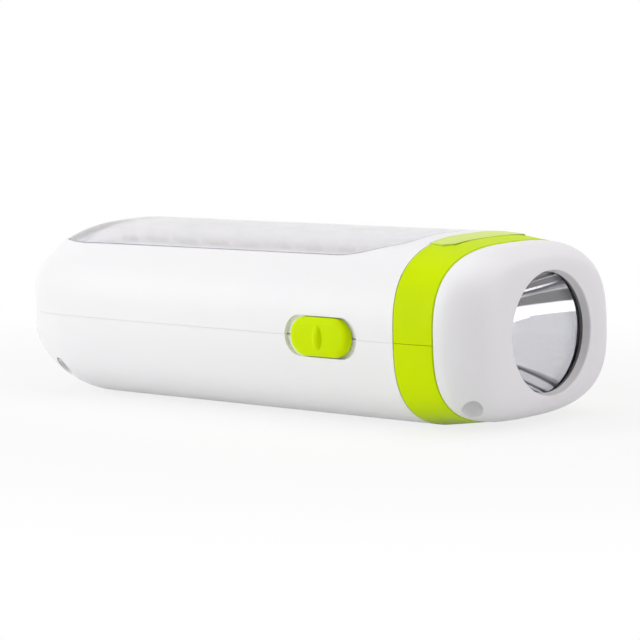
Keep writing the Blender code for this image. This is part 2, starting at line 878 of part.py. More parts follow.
def pad_block(name, grow, low):
    """The space of the green pad on the band's roof, grown by a clearance."""
    rear = band_rear_x - pad_rear_overhang - grow
    front = band_rear_x + pad_front_setback + grow
    half = pad_half_span + grow
    outline = [(rear, -half), (front - pad_corner, -half), (front, -half + pad_corner),
               (front, half - pad_corner), (front - pad_corner, half), (rear, half)]
    return upright(name, outline, low, height + overrun)


def pad_floor(name, depth):
    """The roof's form at a depth under its surface, or above it where the depth is negative."""
    start = band_rear_x - overrun
    end = band_front_x
    rings = [section(start, depth), section(band_rear_x, depth), section(end, depth)]
    return loft(name, rings)


def pad_seat():
    """What the pad's seat takes out of the band and of the roof behind it."""
    if "pad_seat_cutter" in bpy.data.objects:
        return bpy.data.objects["pad_seat_cutter"]
    space = pad_block("pad_seat_cutter", gap, axis_z)
    cut(space, pad_floor("pad_seat_form", pad_depth + gap))
    return space


def band_pad():
    """Green pad that carries the roof's level on over the sloping band, to a standing front edge."""
    half_wide, half_high = envelope(band_rear_x, -pad_rise)
    pad = loft("band_pad", [oval(x, half_wide, half_high, 0)
                            for x in (band_rear_x - overrun, band_front_x)], *green)
    cut(pad, pad_floor("pad_base_form", pad_depth))
    keep(pad, pad_block("pad_mask", 0.0, axis_z))


# Head
def crease_rings(start_x):
    """Rings that turn softly from the head's side on to its face."""
    start = (start_x, *envelope(start_x))
    corner = (nose_x, face_width / 2, face_height / 2)
    end = (nose_x, corner[1] * face_inner_share, corner[2] * face_inner_share)
    rings = []
    for step in range(crease_steps + 1):
        t = step / crease_steps
        x, half_wide, half_high = [a * (1 - t) ** 2 + b * 2 * t * (1 - t) + c * t ** 2
                                   for a, b, c in zip(start, corner, end)]
        rings.append(oval(x, half_wide, half_high, 0))
    return rings


def head():
    """White one-piece head: its rear half slips over the neck, its face holds the lens."""
    crease_x = band_front_x + head_length * crease_start_share
    rings = [section(band_front_x + gap / 2)] + head_rings(0.0, crease_x)[1:-1]
    piece = loft("head_bezel", rings + crease_rings(crease_x), *white)
    space_end = neck_end_x + gap
    inner = head_rings(wall, space_end)
    space = loft("head_cavity", [shift(inner[0], -overrun)] + inner)
    pads = bmesh.new()
    for y in (-screw_spread, screw_spread):
        add_rod(pads, (front_screw_x, y, -overrun), (front_screw_x, y, screw_seat + screw_pad),
                recess_radius + boss_wall)
    cut(space, finish("head_pads", pads))
    cut(piece, space)
    holes = bmesh.new()
    for y in (-screw_spread, screw_spread):
        add_rod(holes, (front_screw_x, y, -overrun), (front_screw_x, y, screw_seat), recess_radius)
    shanks = bmesh.new()
    for y in (-screw_spread, screw_spread):
        add_rod(shanks, (front_screw_x, y, screw_seat - gap), (front_screw_x, y, seam_z),
                screw_radius + gap)
    pocket = rod("lens_pocket_cutter", (space_end - overrun, 0, axis_z), (lip_x, 0, axis_z),
                 pocket_radius, sides=round_sides)
    flare = (opening_radius - lip_radius) / lip_depth
    opening = rod("face_opening_cutter", (lip_x - overrun, 0, axis_z),
                  (nose_x + overrun, 0, axis_z), lip_radius - flare * overrun, sides=round_sides,
                  end_radius=opening_radius + flare * overrun)
    cut(piece, pocket, opening, finish("head_recesses", holes), finish("head_shank_holes", shanks))


# Spot lamp
def reflector_inner(x):
    """Radius of the reflector's bright face at x: a paraboloid about the emitter."""
    depth = flange_x + flange_thickness - x
    return sqrt(max(reflector_mouth ** 2 - 4 * reflector_focus * depth, 0))


def reflector_outer(x):
    return reflector_inner(x) + reflector_wall


def reflector_rear():
    """Where the reflector ends, round its throat."""
    drop = (reflector_mouth ** 2 - reflector_throat ** 2) / (4 * reflector_focus)
    return flange_x + flange_thickness - drop


def plate_x():
    return reflector_rear() - gap - star_thickness - gap - plate_thickness


def spot_lamp():
    """Seal, lens, reflector, emitter, its star board and the plate that takes its heat."""
    outer = pocket_radius - gap
    turned("lens_seal", ((seal_x, seal_bore), (seal_x + seal_thickness, seal_bore),
                         (seal_x + seal_thickness, outer), (seal_x, outer)), *dark)
    rod("front_lens", (lens_x, 0, axis_z), (lens_x + lens_thickness, 0, axis_z), outer, *clear,
        sides=round_sides)
    steps = 7
    front_x = flange_x + flange_thickness
    inner, back = [], []
    for step in range(steps + 1):
        radius = reflector_throat + (reflector_mouth - reflector_throat) * step / steps
        x = front_x - (reflector_mouth ** 2 - radius ** 2) / (4 * reflector_focus)
        inner.append((x, radius))
        if step % 2 == 0 and x < flange_x - gap:
            back.append((x, radius + reflector_wall))
    rim = [(front_x, outer), (flange_x, outer), (flange_x, reflector_outer(flange_x))]
    turned("reflector", inner + rim + back[::-1], (0.90, 0.90, 0.92), 0.06, 1.0)

    star = []
    points = 12
    for step in range(points):
        reach = star_radius * (star_notch_share if step % 2 else 1)
        star.append((reach * cos(tau * step / points), reach * sin(tau * step / points)))
    star_x = plate_x() + plate_thickness + gap
    lengthwise("led_star_board", star, star_x, star_x + star_thickness, (0.88, 0.88, 0.86), 0.4)
    half = emitter_width / 2
    base_x = star_x + star_thickness + gap
    emitter = block("spot_led", (base_x, -half, axis_z - half),
                    (base_x + emitter_base, half, axis_z + half), (0.92, 0.86, 0.45), 0.25)
    dome_x = base_x + emitter_base
    rings = [ring_x(base_x + emitter_base / 2, 0, emitter_dome)]
    for share in emitter_dome_shares:
        rings.append(ring_x(dome_x + share * emitter_dome, 0, emitter_dome * sqrt(1 - share ** 2)))
    join(emitter, loft("emitter_dome_form", rings))
    plate = block("heat_sink_plate", (plate_x(), -plate_width / 2, axis_z - plate_height / 2),
                  (plate_x() + plate_thickness, plate_width / 2, axis_z + plate_height / 2),
                  (0.80, 0.81, 0.82), 0.35, 1.0)
    holes = bmesh.new()
    for y in (-lead_hole_radius, lead_hole_radius):
        add_rod(holes, (plate_x() - overrun, y, axis_z), (plate_x() + overrun, y, axis_z),
                lead_radius + gap)
    cut(plate, finish("plate_holes", holes))


def plate_grips(name, upper):
    """Ribs of one shell that grip an edge of the heat plate."""
    half = plate_width / 3
    edge = plate_height / 2 - plate_grip
    low_x = plate_x() - gap - rib
    high_x = plate_x() + plate_thickness + gap + rib
    if upper:
        return block(name, (low_x, -half, axis_z + edge), (high_x, half, height))
    return block(name, (low_x, -half, -overrun), (high_x, half, axis_z - edge))


# Side lamp
def tray_level():
    """Top of the tray's floor."""
    return axis_z + pocket_floor + gap + tray_floor


def tray_screw_places():
    """A screw near the tail on the switch side, and one near the band on the other."""
    return ((window_rear_x + tray_screw_inset, -tray_screw_offset),
            (window_front_x - tray_screw_inset, tray_screw_offset))


def lamp_lead_x():
    return board_x() + board_length / 5


def side_lamp():
    """Clear window in the roof, its white tray, the strip board, its emitters and screws."""
    window = upright("side_window", window_outline(0.0), axis_z, height + overrun, *clear)
    keep(window, body_form("window_top_form", 0.0))
    cut(window, body_form("window_base_form", window_thickness))

    tray = upright("side_tray", window_outline(-ledge_width - gap), axis_z + pocket_floor + gap,
                   height + overrun, *white)
    keep(tray, body_form("tray_top_form", window_thickness + 2 * gap))
    cut(tray, upright("tray_hollow_cutter", window_outline(-ledge_width - gap - tray_wall),
                      tray_level(), height + overrun))
    holes = bmesh.new()
    for x, y in tray_screw_places():
        add_rod(holes, (x, y, axis_z), (x, y, tray_level() + gap), tray_screw_radius + gap)
    for y in (-lead_spread, lead_spread):
        add_rod(holes, (lamp_lead_x(), y, axis_z), (lamp_lead_x(), y, tray_level() + gap),
                lead_radius + gap)
    cut(tray, finish("tray_holes", holes))

    rear_x = tray_screw_places()[0][0] + strip_margin
    front_x = tray_screw_places()[1][0] - strip_margin
    strip_z = tray_level() + gap
    strip = block("side_led_strip", (rear_x, -strip_half_width, strip_z),
                  (front_x, strip_half_width, strip_z + strip_thickness), (0.90, 0.91, 0.90), 0.4)
    leds = bmesh.new()
    low = strip_z + strip_thickness
    for column in range(led_columns):
        x = rear_x + (front_x - rear_x) * (column + 0.5) / led_columns
        for y in (-led_row_spread, led_row_spread):
            add_block(leds, (x - led_width / 2, y - led_width / 2, low - strip_thickness / 2),
                      (x + led_width / 2, y + led_width / 2, low + led_height))
    join(strip, finish("side_leds_form", leds))

    for end, (x, y) in zip(("rear", "front"), tray_screw_places()):
        screw(f"tray_screw_{end}", (x, y, tray_level() + gap / 2), True, tray_screw_radius,
              tray_screw_length, tray_screw_head_radius, tray_screw_head_height)


# Lamp switch
def knob_way(play, name):
    """The switch knob's sunk seat in the side, as long as the knob's travel asks."""
    outline = obround(knob_length + 2 * play, knob_height + 2 * gap)
    surface = -side_y(switch_x)
    return crosswise(name, outline, switch_x, seam_z, surface - overrun, surface + knob_recess)


def switch_front_y():
    """The plane that the switch's front face stands behind."""
    return -side_y(switch_x) + knob_recess + knob_wall + gap


def switch_pad(name):
    """Thicker wall behind the switch knob's seat."""
    half_long = knob_length / 2 + switch_travel + gap + rib
    half_high = knob_height / 2 + gap + rib
    surface = -side_y(switch_x)
    return block(name, (switch_x - half_long, surface, seam_z - half_high),
                 (switch_x + half_long, surface + knob_recess + knob_wall, seam_z + half_high))


def lamp_switch():
    """Slide switch behind the wall, its lever, and the green knob with its thumb ridge."""
    surface = -side_y(switch_x)
    base = surface + knob_recess - gap
    front = switch_front_y()
    rings = []
    for y, inset in [(base, 0)] + [(surface - rise_share * knob_rise, inset_share * knob_height)
                                   for rise_share, inset_share in knob_dome_shares]:
        outline = obround(knob_length - 2 * inset, knob_height - 2 * inset)
        rings.append([Vector((switch_x + u, y, seam_z + w)) for u, w in outline])
    knob = loft("switch_knob", rings, *green)
    half_long, half_high = knob_ridge_width / 2, knob_ridge_height / 2
    crest = surface - knob_rise - knob_ridge_rise
    ridge = block("ridge_form", (switch_x - half_long, crest, seam_z - half_high),
                  (switch_x + half_long, surface, seam_z + half_high),
                  bevel=knob_ridge_rise * knob_ridge_share)
    half_long, half_high = stem_length / 2, stem_height / 2
    stem = block("stem_form", (switch_x - half_long, base - gap, seam_z - half_high),
                 (switch_x + half_long, front - 2 * gap, seam_z + half_high))
    join(knob, ridge, stem)

    half_long, half_high = lever_length / 2 + gap, lever_height / 2 + gap
    lever_tip = front - lever_reach + lever_sunk
    cut(knob, block("lever_socket_cutter", (switch_x - half_long, lever_tip - gap, seam_z - half_high),
                    (switch_x + half_long, front + overrun, seam_z + half_high)))
    block("switch_lever", (switch_x - lever_length / 2, lever_tip, seam_z - lever_height / 2),
          (switch_x + lever_length / 2, front + lever_sunk, seam_z + lever_height / 2), *dark)
    housing = block("switch_body", (switch_x - switch_length / 2, front, seam_z - switch_height / 2),
                    (switch_x + switch_length / 2, front + switch_depth, seam_z + switch_height / 2),
                    *steel)
    half_long += switch_travel
    cut(housing, block("lever_slot_cutter", (switch_x - half_long, front - overrun, seam_z - half_high),
                       (switch_x + half_long, front + lever_sunk + gap, seam_z + half_high)))


# Battery
def strap_x():
    return (battery_front_x + battery_rear_x) / 2


def strap_foot_z():
    return seam_z - strap_thickness


def strap_screw_y():
    return battery_width / 2 + gap + strap_thickness + strap_foot / 2


def battery():
    """Sealed battery in its cradle, its tabs, and the strap that holds it down."""
    half = battery_width / 2
    top = battery_base + battery_height
    block("battery", (battery_rear_x, -half, battery_base), (battery_front_x, half, top),
          (0.16, 0.17, 0.19), 0.5, bevel=rib)
    for side, sign in sides:
        y = sign * half / 3
        block(f"battery_tab_{side}",
              (battery_rear_x - gap - tab_length, y - tab_width / 2, top - 2 * tab_width),
              (battery_rear_x - gap, y + tab_width / 2, top - 2 * tab_width + tab_thickness), *tin)

    inner = half + gap
    outer = inner + strap_thickness
    foot_end = outer + strap_foot
    low, high = strap_foot_z(), top + gap
    outline = [(-foot_end, low), (-inner, low), (-inner, high), (inner, high), (inner, low),
               (foot_end, low), (foot_end, low + strap_thickness), (outer, low + strap_thickness),
               (outer, high + strap_thickness), (-outer, high + strap_thickness),
               (-outer, low + strap_thickness), (-foot_end, low + strap_thickness)]
    strap = lengthwise("battery_strap", [(y, z - axis_z) for y, z in outline],
                       strap_x() - strap_width / 2, strap_x() + strap_width / 2, *tin)
    holes = bmesh.new()
    for side, sign in sides:
        y = sign * strap_screw_y()
        add_rod(holes, (strap_x(), y, low - overrun), (strap_x(), y, low + overrun),
                strap_screw_radius + gap)
        screw(f"strap_screw_{side}", (strap_x(), y, low + strap_thickness + gap / 2), True,
              strap_screw_radius, strap_screw_length - 2 * strap_thickness,
              strap_screw_head_radius, strap_screw_head_height)
    cut(strap, finish("strap_holes", holes))


# Charging plug
def mouth_surround(name):
    """The wall round the plug's mouth in the tail."""
    outline = obround(2 * (mouth_half_width + mouth_wall), mouth_height + 2 * mouth_wall)
    return lengthwise(name, outline, tail_x - overrun, mouth_x + mouth_wall)


def end_cap():
    """White cap in the plug's mouth, almost flush with the tail, with a hole for each pin."""
    outline = obround(2 * (mouth_half_width - gap), mouth_height - 2 * gap)
    cap = lengthwise("plug_cap", outline, tail_x - overrun, mouth_x - gap, *white)
    keep(cap, body_form("cap_face_form", cap_sunk))
    hollow = body_form("cap_hollow_form", cap_sunk + cap_wall)
    legs = bmesh.new()
    holes = bmesh.new()
    half_wide, half_high = cap_leg_width / 2, cap_leg_height / 2
    for side in (-1, 1):
        y = side * cap_leg_spread
        add_block(legs, (tail_x, y - half_wide, axis_z - half_high),
                  (mouth_x + overrun, y + half_wide, axis_z + half_high))
        y = side * pin_spread
        add_rod(holes, (tail_x - overrun, y, axis_z), (mouth_x, y, axis_z), pin_radius + gap)
    cut(hollow, finish("cap_legs", legs))
    cut(cap, hollow, finish("cap_pin_holes", holes))


def slider_middle():
    return post_x - plug_travel / 2


def slider_floor():
    """The plane of the slider's sunk track in the left side."""
    return side_y(slider_middle()) - slider_recess


def slider_way():
    """The slider's sunk track, as long as the plug's travel asks."""
    long = slider_length + plug_travel + 2 * gap
    outline = obround(long, slider_height + 2 * gap)
    return crosswise("slider_track_cutter", outline, slider_middle(), axis_z, slider_floor(),
                     slider_floor() + overrun)


def slider_pad(name):
    """Thicker wall behind the slider's track."""
    half_long = (slider_length + plug_travel) / 2 + gap + rib
    half_high = slider_height / 2 + gap + rib
    middle = slider_middle()
    return block(name, (middle - half_long, slider_floor() - slider_wall, axis_z - half_high),
                 (middle + half_long, slider_floor() + overrun, axis_z + half_high))


def brush(name, y):
    """A bent contact strip that hangs from the charging board and rides on a pin."""
    shoe_z = axis_z + pin_radius + gap
    top_z = board_top() - board_thickness - gap
    heel = board_x() + board_length * brush_setback_share
    leg = heel + brush_shoe / 3
    bend_z = shoe_z + brush_shoe / 3
    half = brush_thickness / 2
    outline = [(heel - brush_shoe, shoe_z), (heel, shoe_z), (leg, bend_z), (leg, top_z),
               (leg - brush_thickness, top_z), (leg - brush_thickness, bend_z + half),
               (heel - half, shoe_z + brush_thickness), (heel - brush_shoe, shoe_z + brush_thickness)]
    edges = (y - brush_width / 2, y + brush_width / 2)
    loft(name, [[Vector((x, edge, z)) for x, z in outline] for edge in edges], *copper)


def charging_plug():
    """Sliding carriage, its two mains pins, and the thumb slider that pushes it out."""
    half_wide, half_high = carriage_width / 2, carriage_height / 2
    carriage = block("plug_carriage", (carriage_x, -half_wide, axis_z - half_high),
                     (carriage_end_x, half_wide, axis_z + half_high), *white, bevel=gap)
    arm_end = carriage_end_x + arm_reach
    arm = block("arm_form", (carriage_end_x - rib, half_wide - arm_width, axis_z - post_height / 2),
                (arm_end - post_length / 2, half_wide - rib / 4, axis_z + post_height / 2))
    post_tip = slider_floor() + gap + slider_recess / 2
    post = block("post_form", (post_x - post_length / 2, half_wide - arm_width, axis_z - post_height / 2),
                 (post_x + post_length / 2, post_tip, axis_z + post_height / 2))
    join(arm, post)
    join(carriage, arm)
    bores, grooves = bmesh.new(), bmesh.new()
    tip_x = carriage_x - pin_reach
    for side, sign in sides:
        y = sign * pin_spread
        add_rod(bores, (carriage_x - overrun, y, axis_z), (carriage_end_x + overrun, y, axis_z),
                pin_radius + gap)
        half = brush_width / 2 + gap
        add_block(grooves, (carriage_x + rib, y - half, axis_z),
                  (carriage_end_x + overrun, y + half, axis_z + carriage_height))
        rings = [ring_x(tip_x + along * pin_radius, y, reach * pin_radius)
                 for along, reach in pin_tip_shares]
        rings.append(ring_x(carriage_end_x + pin_tail, y, pin_radius))
        loft(f"plug_pin_{side}", rings, *tin)
        brush(f"plug_brush_{side}", y)
    cut(carriage, finish("pin_bores", bores), finish("brush_grooves", grooves))

    base = slider_floor() + gap
    top = side_y(slider_middle()) + slider_rise
    rings = []
    for inset, y in ((0.0, base), (0.0, top - slider_rise), (slider_rise / 3, top - slider_rise / 3),
                     (slider_rise, top)):
        outline = obround(slider_length - 2 * inset, slider_height - 2 * inset)
        rings.append([Vector((post_x + u, y, axis_z + w)) for u, w in outline])
    slider = loft("plug_slider", rings, *white)
    grips = bmesh.new()
    for step in range(slider_grips):
        x = post_x + (step - (slider_grips - 1) / 2) * 2 * slider_grip_width
        add_block(grips, (x - slider_grip_width / 2, top - slider_rise / 2, axis_z - slider_height / 3),
                  (x + slider_grip_width / 2, top + overrun, axis_z + slider_height / 3))
    socket = block("post_socket_cutter",
                   (post_x - post_length / 2 - gap, base - overrun, axis_z - post_height / 2 - gap),
                   (post_x + post_length / 2 + gap, post_tip + gap, axis_z + post_height / 2 + gap))
    cut(slider, finish("slider_grips", grips), socket)


# Charging board
def board_x():
    """The board's end nearest the tail."""
    return tail_x + body_length * board_setback_share


def board_top():
    return axis_z + board_lift + board_thickness


def board_screws():
    return (board_x() + board_screw_inset, board_x() + board_length - board_screw_inset)


def charging_board():
    """Board under the roof with its dropper capacitor, filter, diodes and two screws."""
    low_x, high_x = board_x(), board_x() + board_length
    low_z = board_top() - board_thickness
    board = block("charge_board", (low_x, -board_half_width, low_z),
                  (high_x, board_half_width, board_top()), *board_green)
    holes = bmesh.new()
    for end, x in zip(("rear", "front"), board_screws()):
        add_rod(holes, (x, 0, low_z - overrun), (x, 0, board_top() + overrun),
                board_screw_radius + gap)
        screw(f"board_screw_{end}", (x, 0, low_z - gap / 2), False, board_screw_radius,
              board_screw_length, board_screw_head_radius, board_screw_head_height)
    cut(board, finish("board_holes", holes))
    seat = board_top() + gap
    middle = (low_x + high_x) / 2
    y = -board_half_width + rib
    block("dropper_capacitor", (middle - capacitor_length / 2, y, seat),
          (middle + capacitor_length / 2, y + capacitor_width, seat + capacitor_height),
          (0.70, 0.22, 0.08), 0.35, bevel=rib / 2)
    y = board_half_width - rib - filter_radius
    rod("filter_capacitor", (middle, y, seat + filter_radius),
        (middle + filter_length, y, seat + filter_radius), filter_radius, (0.08, 0.10, 0.25), 0.35)
    for step in range(diodes):
        x = middle - capacitor_length / 2 + (step + 0.5) * diode_pitch
        rod(f"bridge_diode_{step + 1}", (x, y - filter_radius - diode_length, seat + diode_radius),
            (x, y - filter_radius, seat + diode_radius), diode_radius, *dark, sides=small_sides // 2)


# Leads
def leads():
    """Insulated leads: board to battery, board to side lamp, board to switch, switch to spot."""
    board_front_x = board_x() + board_length + gap
    board_mid_z = board_top() - board_thickness / 2
    tab_x = battery_rear_x - gap - tab_length / 2
    tab_z = battery_base + battery_height - 2 * tab_width + tab_thickness + gap
    for side, sign, colour in (("red", 1, red), ("black", -1, black)):
        y = sign * battery_width / 6
        tube(f"battery_lead_{side}", smooth_route(
            (tab_x, y, tab_z), (tab_x, y, tab_z + lead_rise),
            (board_front_x + lead_spread / 2, y, board_mid_z - lead_radius),
            (board_front_x, y, board_mid_z)), lead_radius, *colour)
        x = lamp_lead_x()
        y = sign * lead_spread
        low_z = board_top() + gap
        tube(f"side_lead_{side}", smooth_route(
            (x, y, low_z), (x, y + lead_radius / 2, (low_z + pocket_under_z) / 2),
            (x, y, pocket_under_z),
            (x, y, tray_level())), lead_radius, *colour)

    over_z = pocket_under_z - (battery_top_room - strap_thickness - gap) / 2
    back_y = switch_front_y() + switch_depth + gap
    edge_y = board_half_width - lead_edge
    pitch = switch_length / 3
    for name, y, x in (("switch_lead_common", -edge_y, switch_x),
                       ("switch_lead_throw", -edge_y - lead_pitch, switch_x - pitch)):
        tube(name, smooth_route(
            (board_front_x, y, board_mid_z), (board_front_x + lead_rise, y, board_mid_z + lead_radius),
            (board_front_x + 3 * lead_rise, y, over_z), (battery_front_x - lead_rise, y, over_z),
            (x, (y + back_y) / 2, (over_z + seam_z) / 2 + lead_rise),
            (x, back_y + lead_rise, seam_z + lead_rise / 2), (x, back_y, seam_z)),
            lead_radius, *red)

    star_front_x = plate_x() + plate_thickness + gap + star_thickness
    x = switch_x + pitch
    start = ((x, back_y, seam_z), (x + lead_rise / 2, back_y + lead_rise, seam_z))
    tube("spot_lead_red", smooth_route(*start, *plate_route(-1, star_front_x)), lead_radius, *red)
    start = ((board_front_x, edge_y, board_mid_z),
             (board_front_x + lead_rise, edge_y, board_mid_z + lead_radius),
             (board_front_x + 3 * lead_rise, edge_y, over_z), (battery_front_x, edge_y, over_z))
    tube("spot_lead_black", smooth_route(*start, *plate_route(1, star_front_x)), lead_radius, *black)


def plate_route(sign, star_front_x):
    """The last stretch of a spot lead: through the heat plate and round on to the star board."""
    far, near = sign * lead_hole_radius, sign * lead_pad_radius
    return ((plate_x() - 2 * lead_rise, far, axis_z + lead_radius),
            (plate_x() - lead_rise / 2, far, axis_z), (plate_x() + plate_thickness, far, axis_z),
            (star_front_x + lead_rise / 3, far, axis_z),
            (star_front_x + lead_rise * 3 / 4, (far + near) / 2, axis_z),
            (star_front_x + lead_rise / 3, near, axis_z), (star_front_x + gap, near, axis_z))


def build():
    clear_scene()
    case_cuts = case_cutters()
    upper_shell(case_cuts)
    lower_shell(case_cuts)
    case_screws()
    band()
    band_pad()
    head()
    spot_lamp()
    side_lamp()
    lamp_switch()
    battery()
    end_cap()
    charging_plug()
    charging_board()
    leads()


build()
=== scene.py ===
"""Looks of a rechargeable hand torch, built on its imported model. Units are metres, +Z is up."""
import json
from math import copysign, cos, pi, radians, sin, sqrt, tau

import bmesh
import bpy
from mathutils import Matrix, Vector


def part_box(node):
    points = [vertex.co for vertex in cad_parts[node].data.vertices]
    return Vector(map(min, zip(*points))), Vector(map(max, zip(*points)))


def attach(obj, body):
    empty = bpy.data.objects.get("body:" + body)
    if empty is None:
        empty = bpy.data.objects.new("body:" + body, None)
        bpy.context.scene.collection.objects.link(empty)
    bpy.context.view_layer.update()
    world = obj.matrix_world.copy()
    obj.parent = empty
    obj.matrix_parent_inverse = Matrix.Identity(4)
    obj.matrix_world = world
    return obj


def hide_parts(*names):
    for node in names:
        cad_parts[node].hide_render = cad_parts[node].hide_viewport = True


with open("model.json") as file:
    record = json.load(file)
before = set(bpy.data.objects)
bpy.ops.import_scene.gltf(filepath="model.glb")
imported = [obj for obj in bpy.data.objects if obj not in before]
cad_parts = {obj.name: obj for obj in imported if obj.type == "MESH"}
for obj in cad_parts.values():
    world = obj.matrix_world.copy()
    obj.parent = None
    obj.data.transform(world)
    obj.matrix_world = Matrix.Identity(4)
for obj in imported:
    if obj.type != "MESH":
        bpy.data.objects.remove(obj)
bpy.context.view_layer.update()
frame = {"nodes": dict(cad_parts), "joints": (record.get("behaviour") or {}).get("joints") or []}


# Case shells. Two halves of moulded white plastic that meet at a level seam, with the bosses and
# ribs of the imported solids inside. The outside is one smooth skin of rounded sections, fused on,
# and the openings for the window, the switch, the slider, the plug and the screws are cut through.
gap = 0.0003  # between two mouldings
hair = 0.00002  # what a cutter is larger by than a packed seat, so that none of its wall is left
overrun = 0.0050  # what a cutter stands out by
merge_distance = 0.000001

seam_drop = 0.0006  # from the middle of the section down to the seam
tail_width = 0.0606
body_width = 0.0684
band_front_width, band_front_height = 0.0674, 0.0478
face_width, face_height = 0.0472, 0.0376
side_rounding, roof_rounding = 0.0435, 0.0319  # how far from the tail the body rounds in
tail_blunt = 0.0011  # how far behind its flat end the tail would come to a point
corner_power, side_power, roof_power = 2.85, 2.75, 1.8  # 2 is an ellipse, more is squarer
ring_points = 160
tail_stations, straight_stations = 30, 8
tail_crowding = 1.6
skin_depth = 0.0010
skin_proud = 0.00002
seam_slit = 0.00005

tail_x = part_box("lower_shell")[0].x
nose_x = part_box("head_bezel")[1].x
band_rear_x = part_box("band_lower")[0].x - gap / 2
band_front_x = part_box("band_lower")[1].x + gap / 2
seam_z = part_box("band_lower")[1].z + gap / 2
axis_z = seam_z + seam_drop
roof_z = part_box("upper_shell")[1].z
half_height = roof_z - axis_z


def rounding(x, reach, power):
    """The share of its size that the body keeps at x, where it rounds in to the tail."""
    depth = max(tail_x - tail_blunt + reach - x, 0) / reach
    return (1 - min(depth, 1) ** power) ** (1 / power)


def half_sizes(x, inset=0.0):
    """Half width and half height of the torch at x, less an even inset."""
    if x > band_front_x:
        drop = ((x - band_front_x) / (nose_x - band_front_x)) ** 2
        half_wide = (band_front_width - drop * (band_front_width - face_width)) / 2
        half_high = (band_front_height - drop * (band_front_height - face_height)) / 2
    elif x > band_rear_x:
        share = (x - band_rear_x) / (band_front_x - band_rear_x)
        half_wide = (body_width + share * (band_front_width - body_width)) / 2
        half_high = half_height + share * (band_front_height / 2 - half_height)
    else:
        share = (x - tail_x) / (band_rear_x - tail_x)
        half_wide = (tail_width + share * (body_width - tail_width)) / 2
        half_wide *= rounding(x - inset, side_rounding, side_power)
        half_high = half_height * rounding(x - inset, roof_rounding, roof_power)
    return half_wide - inset, half_high - inset


def ring(shape, x, half_wide, half_high, floor=0.0):
    """A rounded section across the torch: a circle drawn out towards its corners."""
    circle = bmesh.ops.create_circle(shape, segments=ring_points, radius=1)["verts"]
    for corner in circle:
        across, up = corner.co.x, corner.co.y
        y = copysign(half_wide * abs(across) ** (2 / corner_power), across)
        z = copysign(half_high * abs(up) ** (2 / corner_power), up)
        corner.co = (x, y, max(axis_z + z, floor))
    return list(dict.fromkeys(edge for corner in circle for edge in corner.link_edges))


def close_form(shape, loops):
    """Skin a row of loops and close both its ends."""
    for near, far in zip(loops, loops[1:]):
        bmesh.ops.bridge_loops(shape, edges=near + far)
    bmesh.ops.edgeloop_fill(shape, edges=loops[0])
    bmesh.ops.edgeloop_fill(shape, edges=loops[-1])
    bmesh.ops.recalc_face_normals(shape, faces=shape.faces)
    return shape


def ring_form(rings):
    """A closed form through rings: x, half width, half height, and the level that it stops at."""
    shape = bmesh.new()
    return close_form(shape, [ring(shape, *sizes) for sizes in rings])


def body_form(inset, end_x):
    """The body from the tail to end_x, smaller all round by an even inset."""
    start = tail_x + inset
    bend = tail_x - tail_blunt + side_rounding + inset
    places = [start + (bend - start) * (step / tail_stations) ** tail_crowding
              for step in range(tail_stations + 1)]
    places += [bend + (end_x - bend) * step / straight_stations
               for step in range(1, straight_stations + 1)]
    return ring_form([(x, *half_sizes(x, inset), inset) for x in places])


def halved(shape, upper, slit):
    """One side of a closed form, cut off beside the seam."""
    level = seam_z + (slit / 2 if upper else -slit / 2)
    parts = shape.verts[:] + shape.edges[:] + shape.faces[:]
    sliced = bmesh.ops.bisect_plane(shape, geom=parts, plane_co=(0, 0, level), plane_no=(0, 0, 1),
                                    clear_inner=upper, clear_outer=not upper)
    rim = [item for item in sliced["geom_cut"] if isinstance(item, bmesh.types.BMEdge)]
    bmesh.ops.edgeloop_fill(shape, edges=rim)
    bmesh.ops.recalc_face_normals(shape, faces=shape.faces)
    return shape


def solid(shape, name="tool"):
    """A bmesh as an object at the origin."""
    mesh = bpy.data.meshes.new(name)
    shape.to_mesh(mesh)
    shape.free()
    made = bpy.data.objects.new(name, mesh)
    bpy.context.scene.collection.objects.link(made)
    return made


def combine(operation, piece, *shapes):
    """Fuse, cut or keep what the piece shares with other closed forms, and drop those."""
    tools = [shape if isinstance(shape, bpy.types.Object) else solid(shape) for shape in shapes]
    step = piece.modifiers.new("combine", "BOOLEAN")
    step.operation = operation
    step.solver = "EXACT"
    if len(tools) == 1:
        step.object = tools[0]
    else:
        step.operand_type = "COLLECTION"
        step.collection = bpy.data.collections.new("combine")
        for tool in tools:
            step.collection.objects.link(tool)
    seen = piece.evaluated_get(bpy.context.evaluated_depsgraph_get())
    piece.data = bpy.data.meshes.new_from_object(seen)
    piece.modifiers.clear()
    for tool in tools:
        bpy.data.objects.remove(tool)
    return piece


def cut(piece, *shapes):
    return combine("DIFFERENCE", piece, *shapes)


def fuse(piece, *shapes):
    return combine("UNION", piece, *shapes)


def packed_copy(node):
    """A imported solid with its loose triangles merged."""
    shape = bmesh.new()
    shape.from_mesh(frame["nodes"][node].data)
    bmesh.ops.remove_doubles(shape, verts=shape.verts, dist=merge_distance)
    return shape


def soften(shape, width, segments=2):
    """Round all the edges of a form."""
    bmesh.ops.bevel(shape, geom=shape.edges[:], offset=width, segments=segments, profile=0.5,
                    affect="EDGES", material=-1)
    return shape


def add_block(shape, low, high):
    """Add a block between two corners to a form."""
    low, high = Vector(low), Vector(high)
    place = Matrix.Translation((low + high) / 2) @ Matrix.Diagonal((*(high - low), 1))
    bmesh.ops.create_cube(shape, size=1, matrix=place)


def block(low, high, bevel=0.0, segments=3):
    """A block between two corners, with rounded edges where a bevel is given."""
    shape = bmesh.new()
    add_block(shape, low, high)
    return soften(shape, bevel, segments) if bevel else shape


def closed_loop(shape, points):
    """Points joined one after the other, and the last one to the first."""
    corners = [shape.verts.new(point) for point in points]
    return [shape.edges.new((corners[i - 1], corners[i])) for i in range(len(corners))]


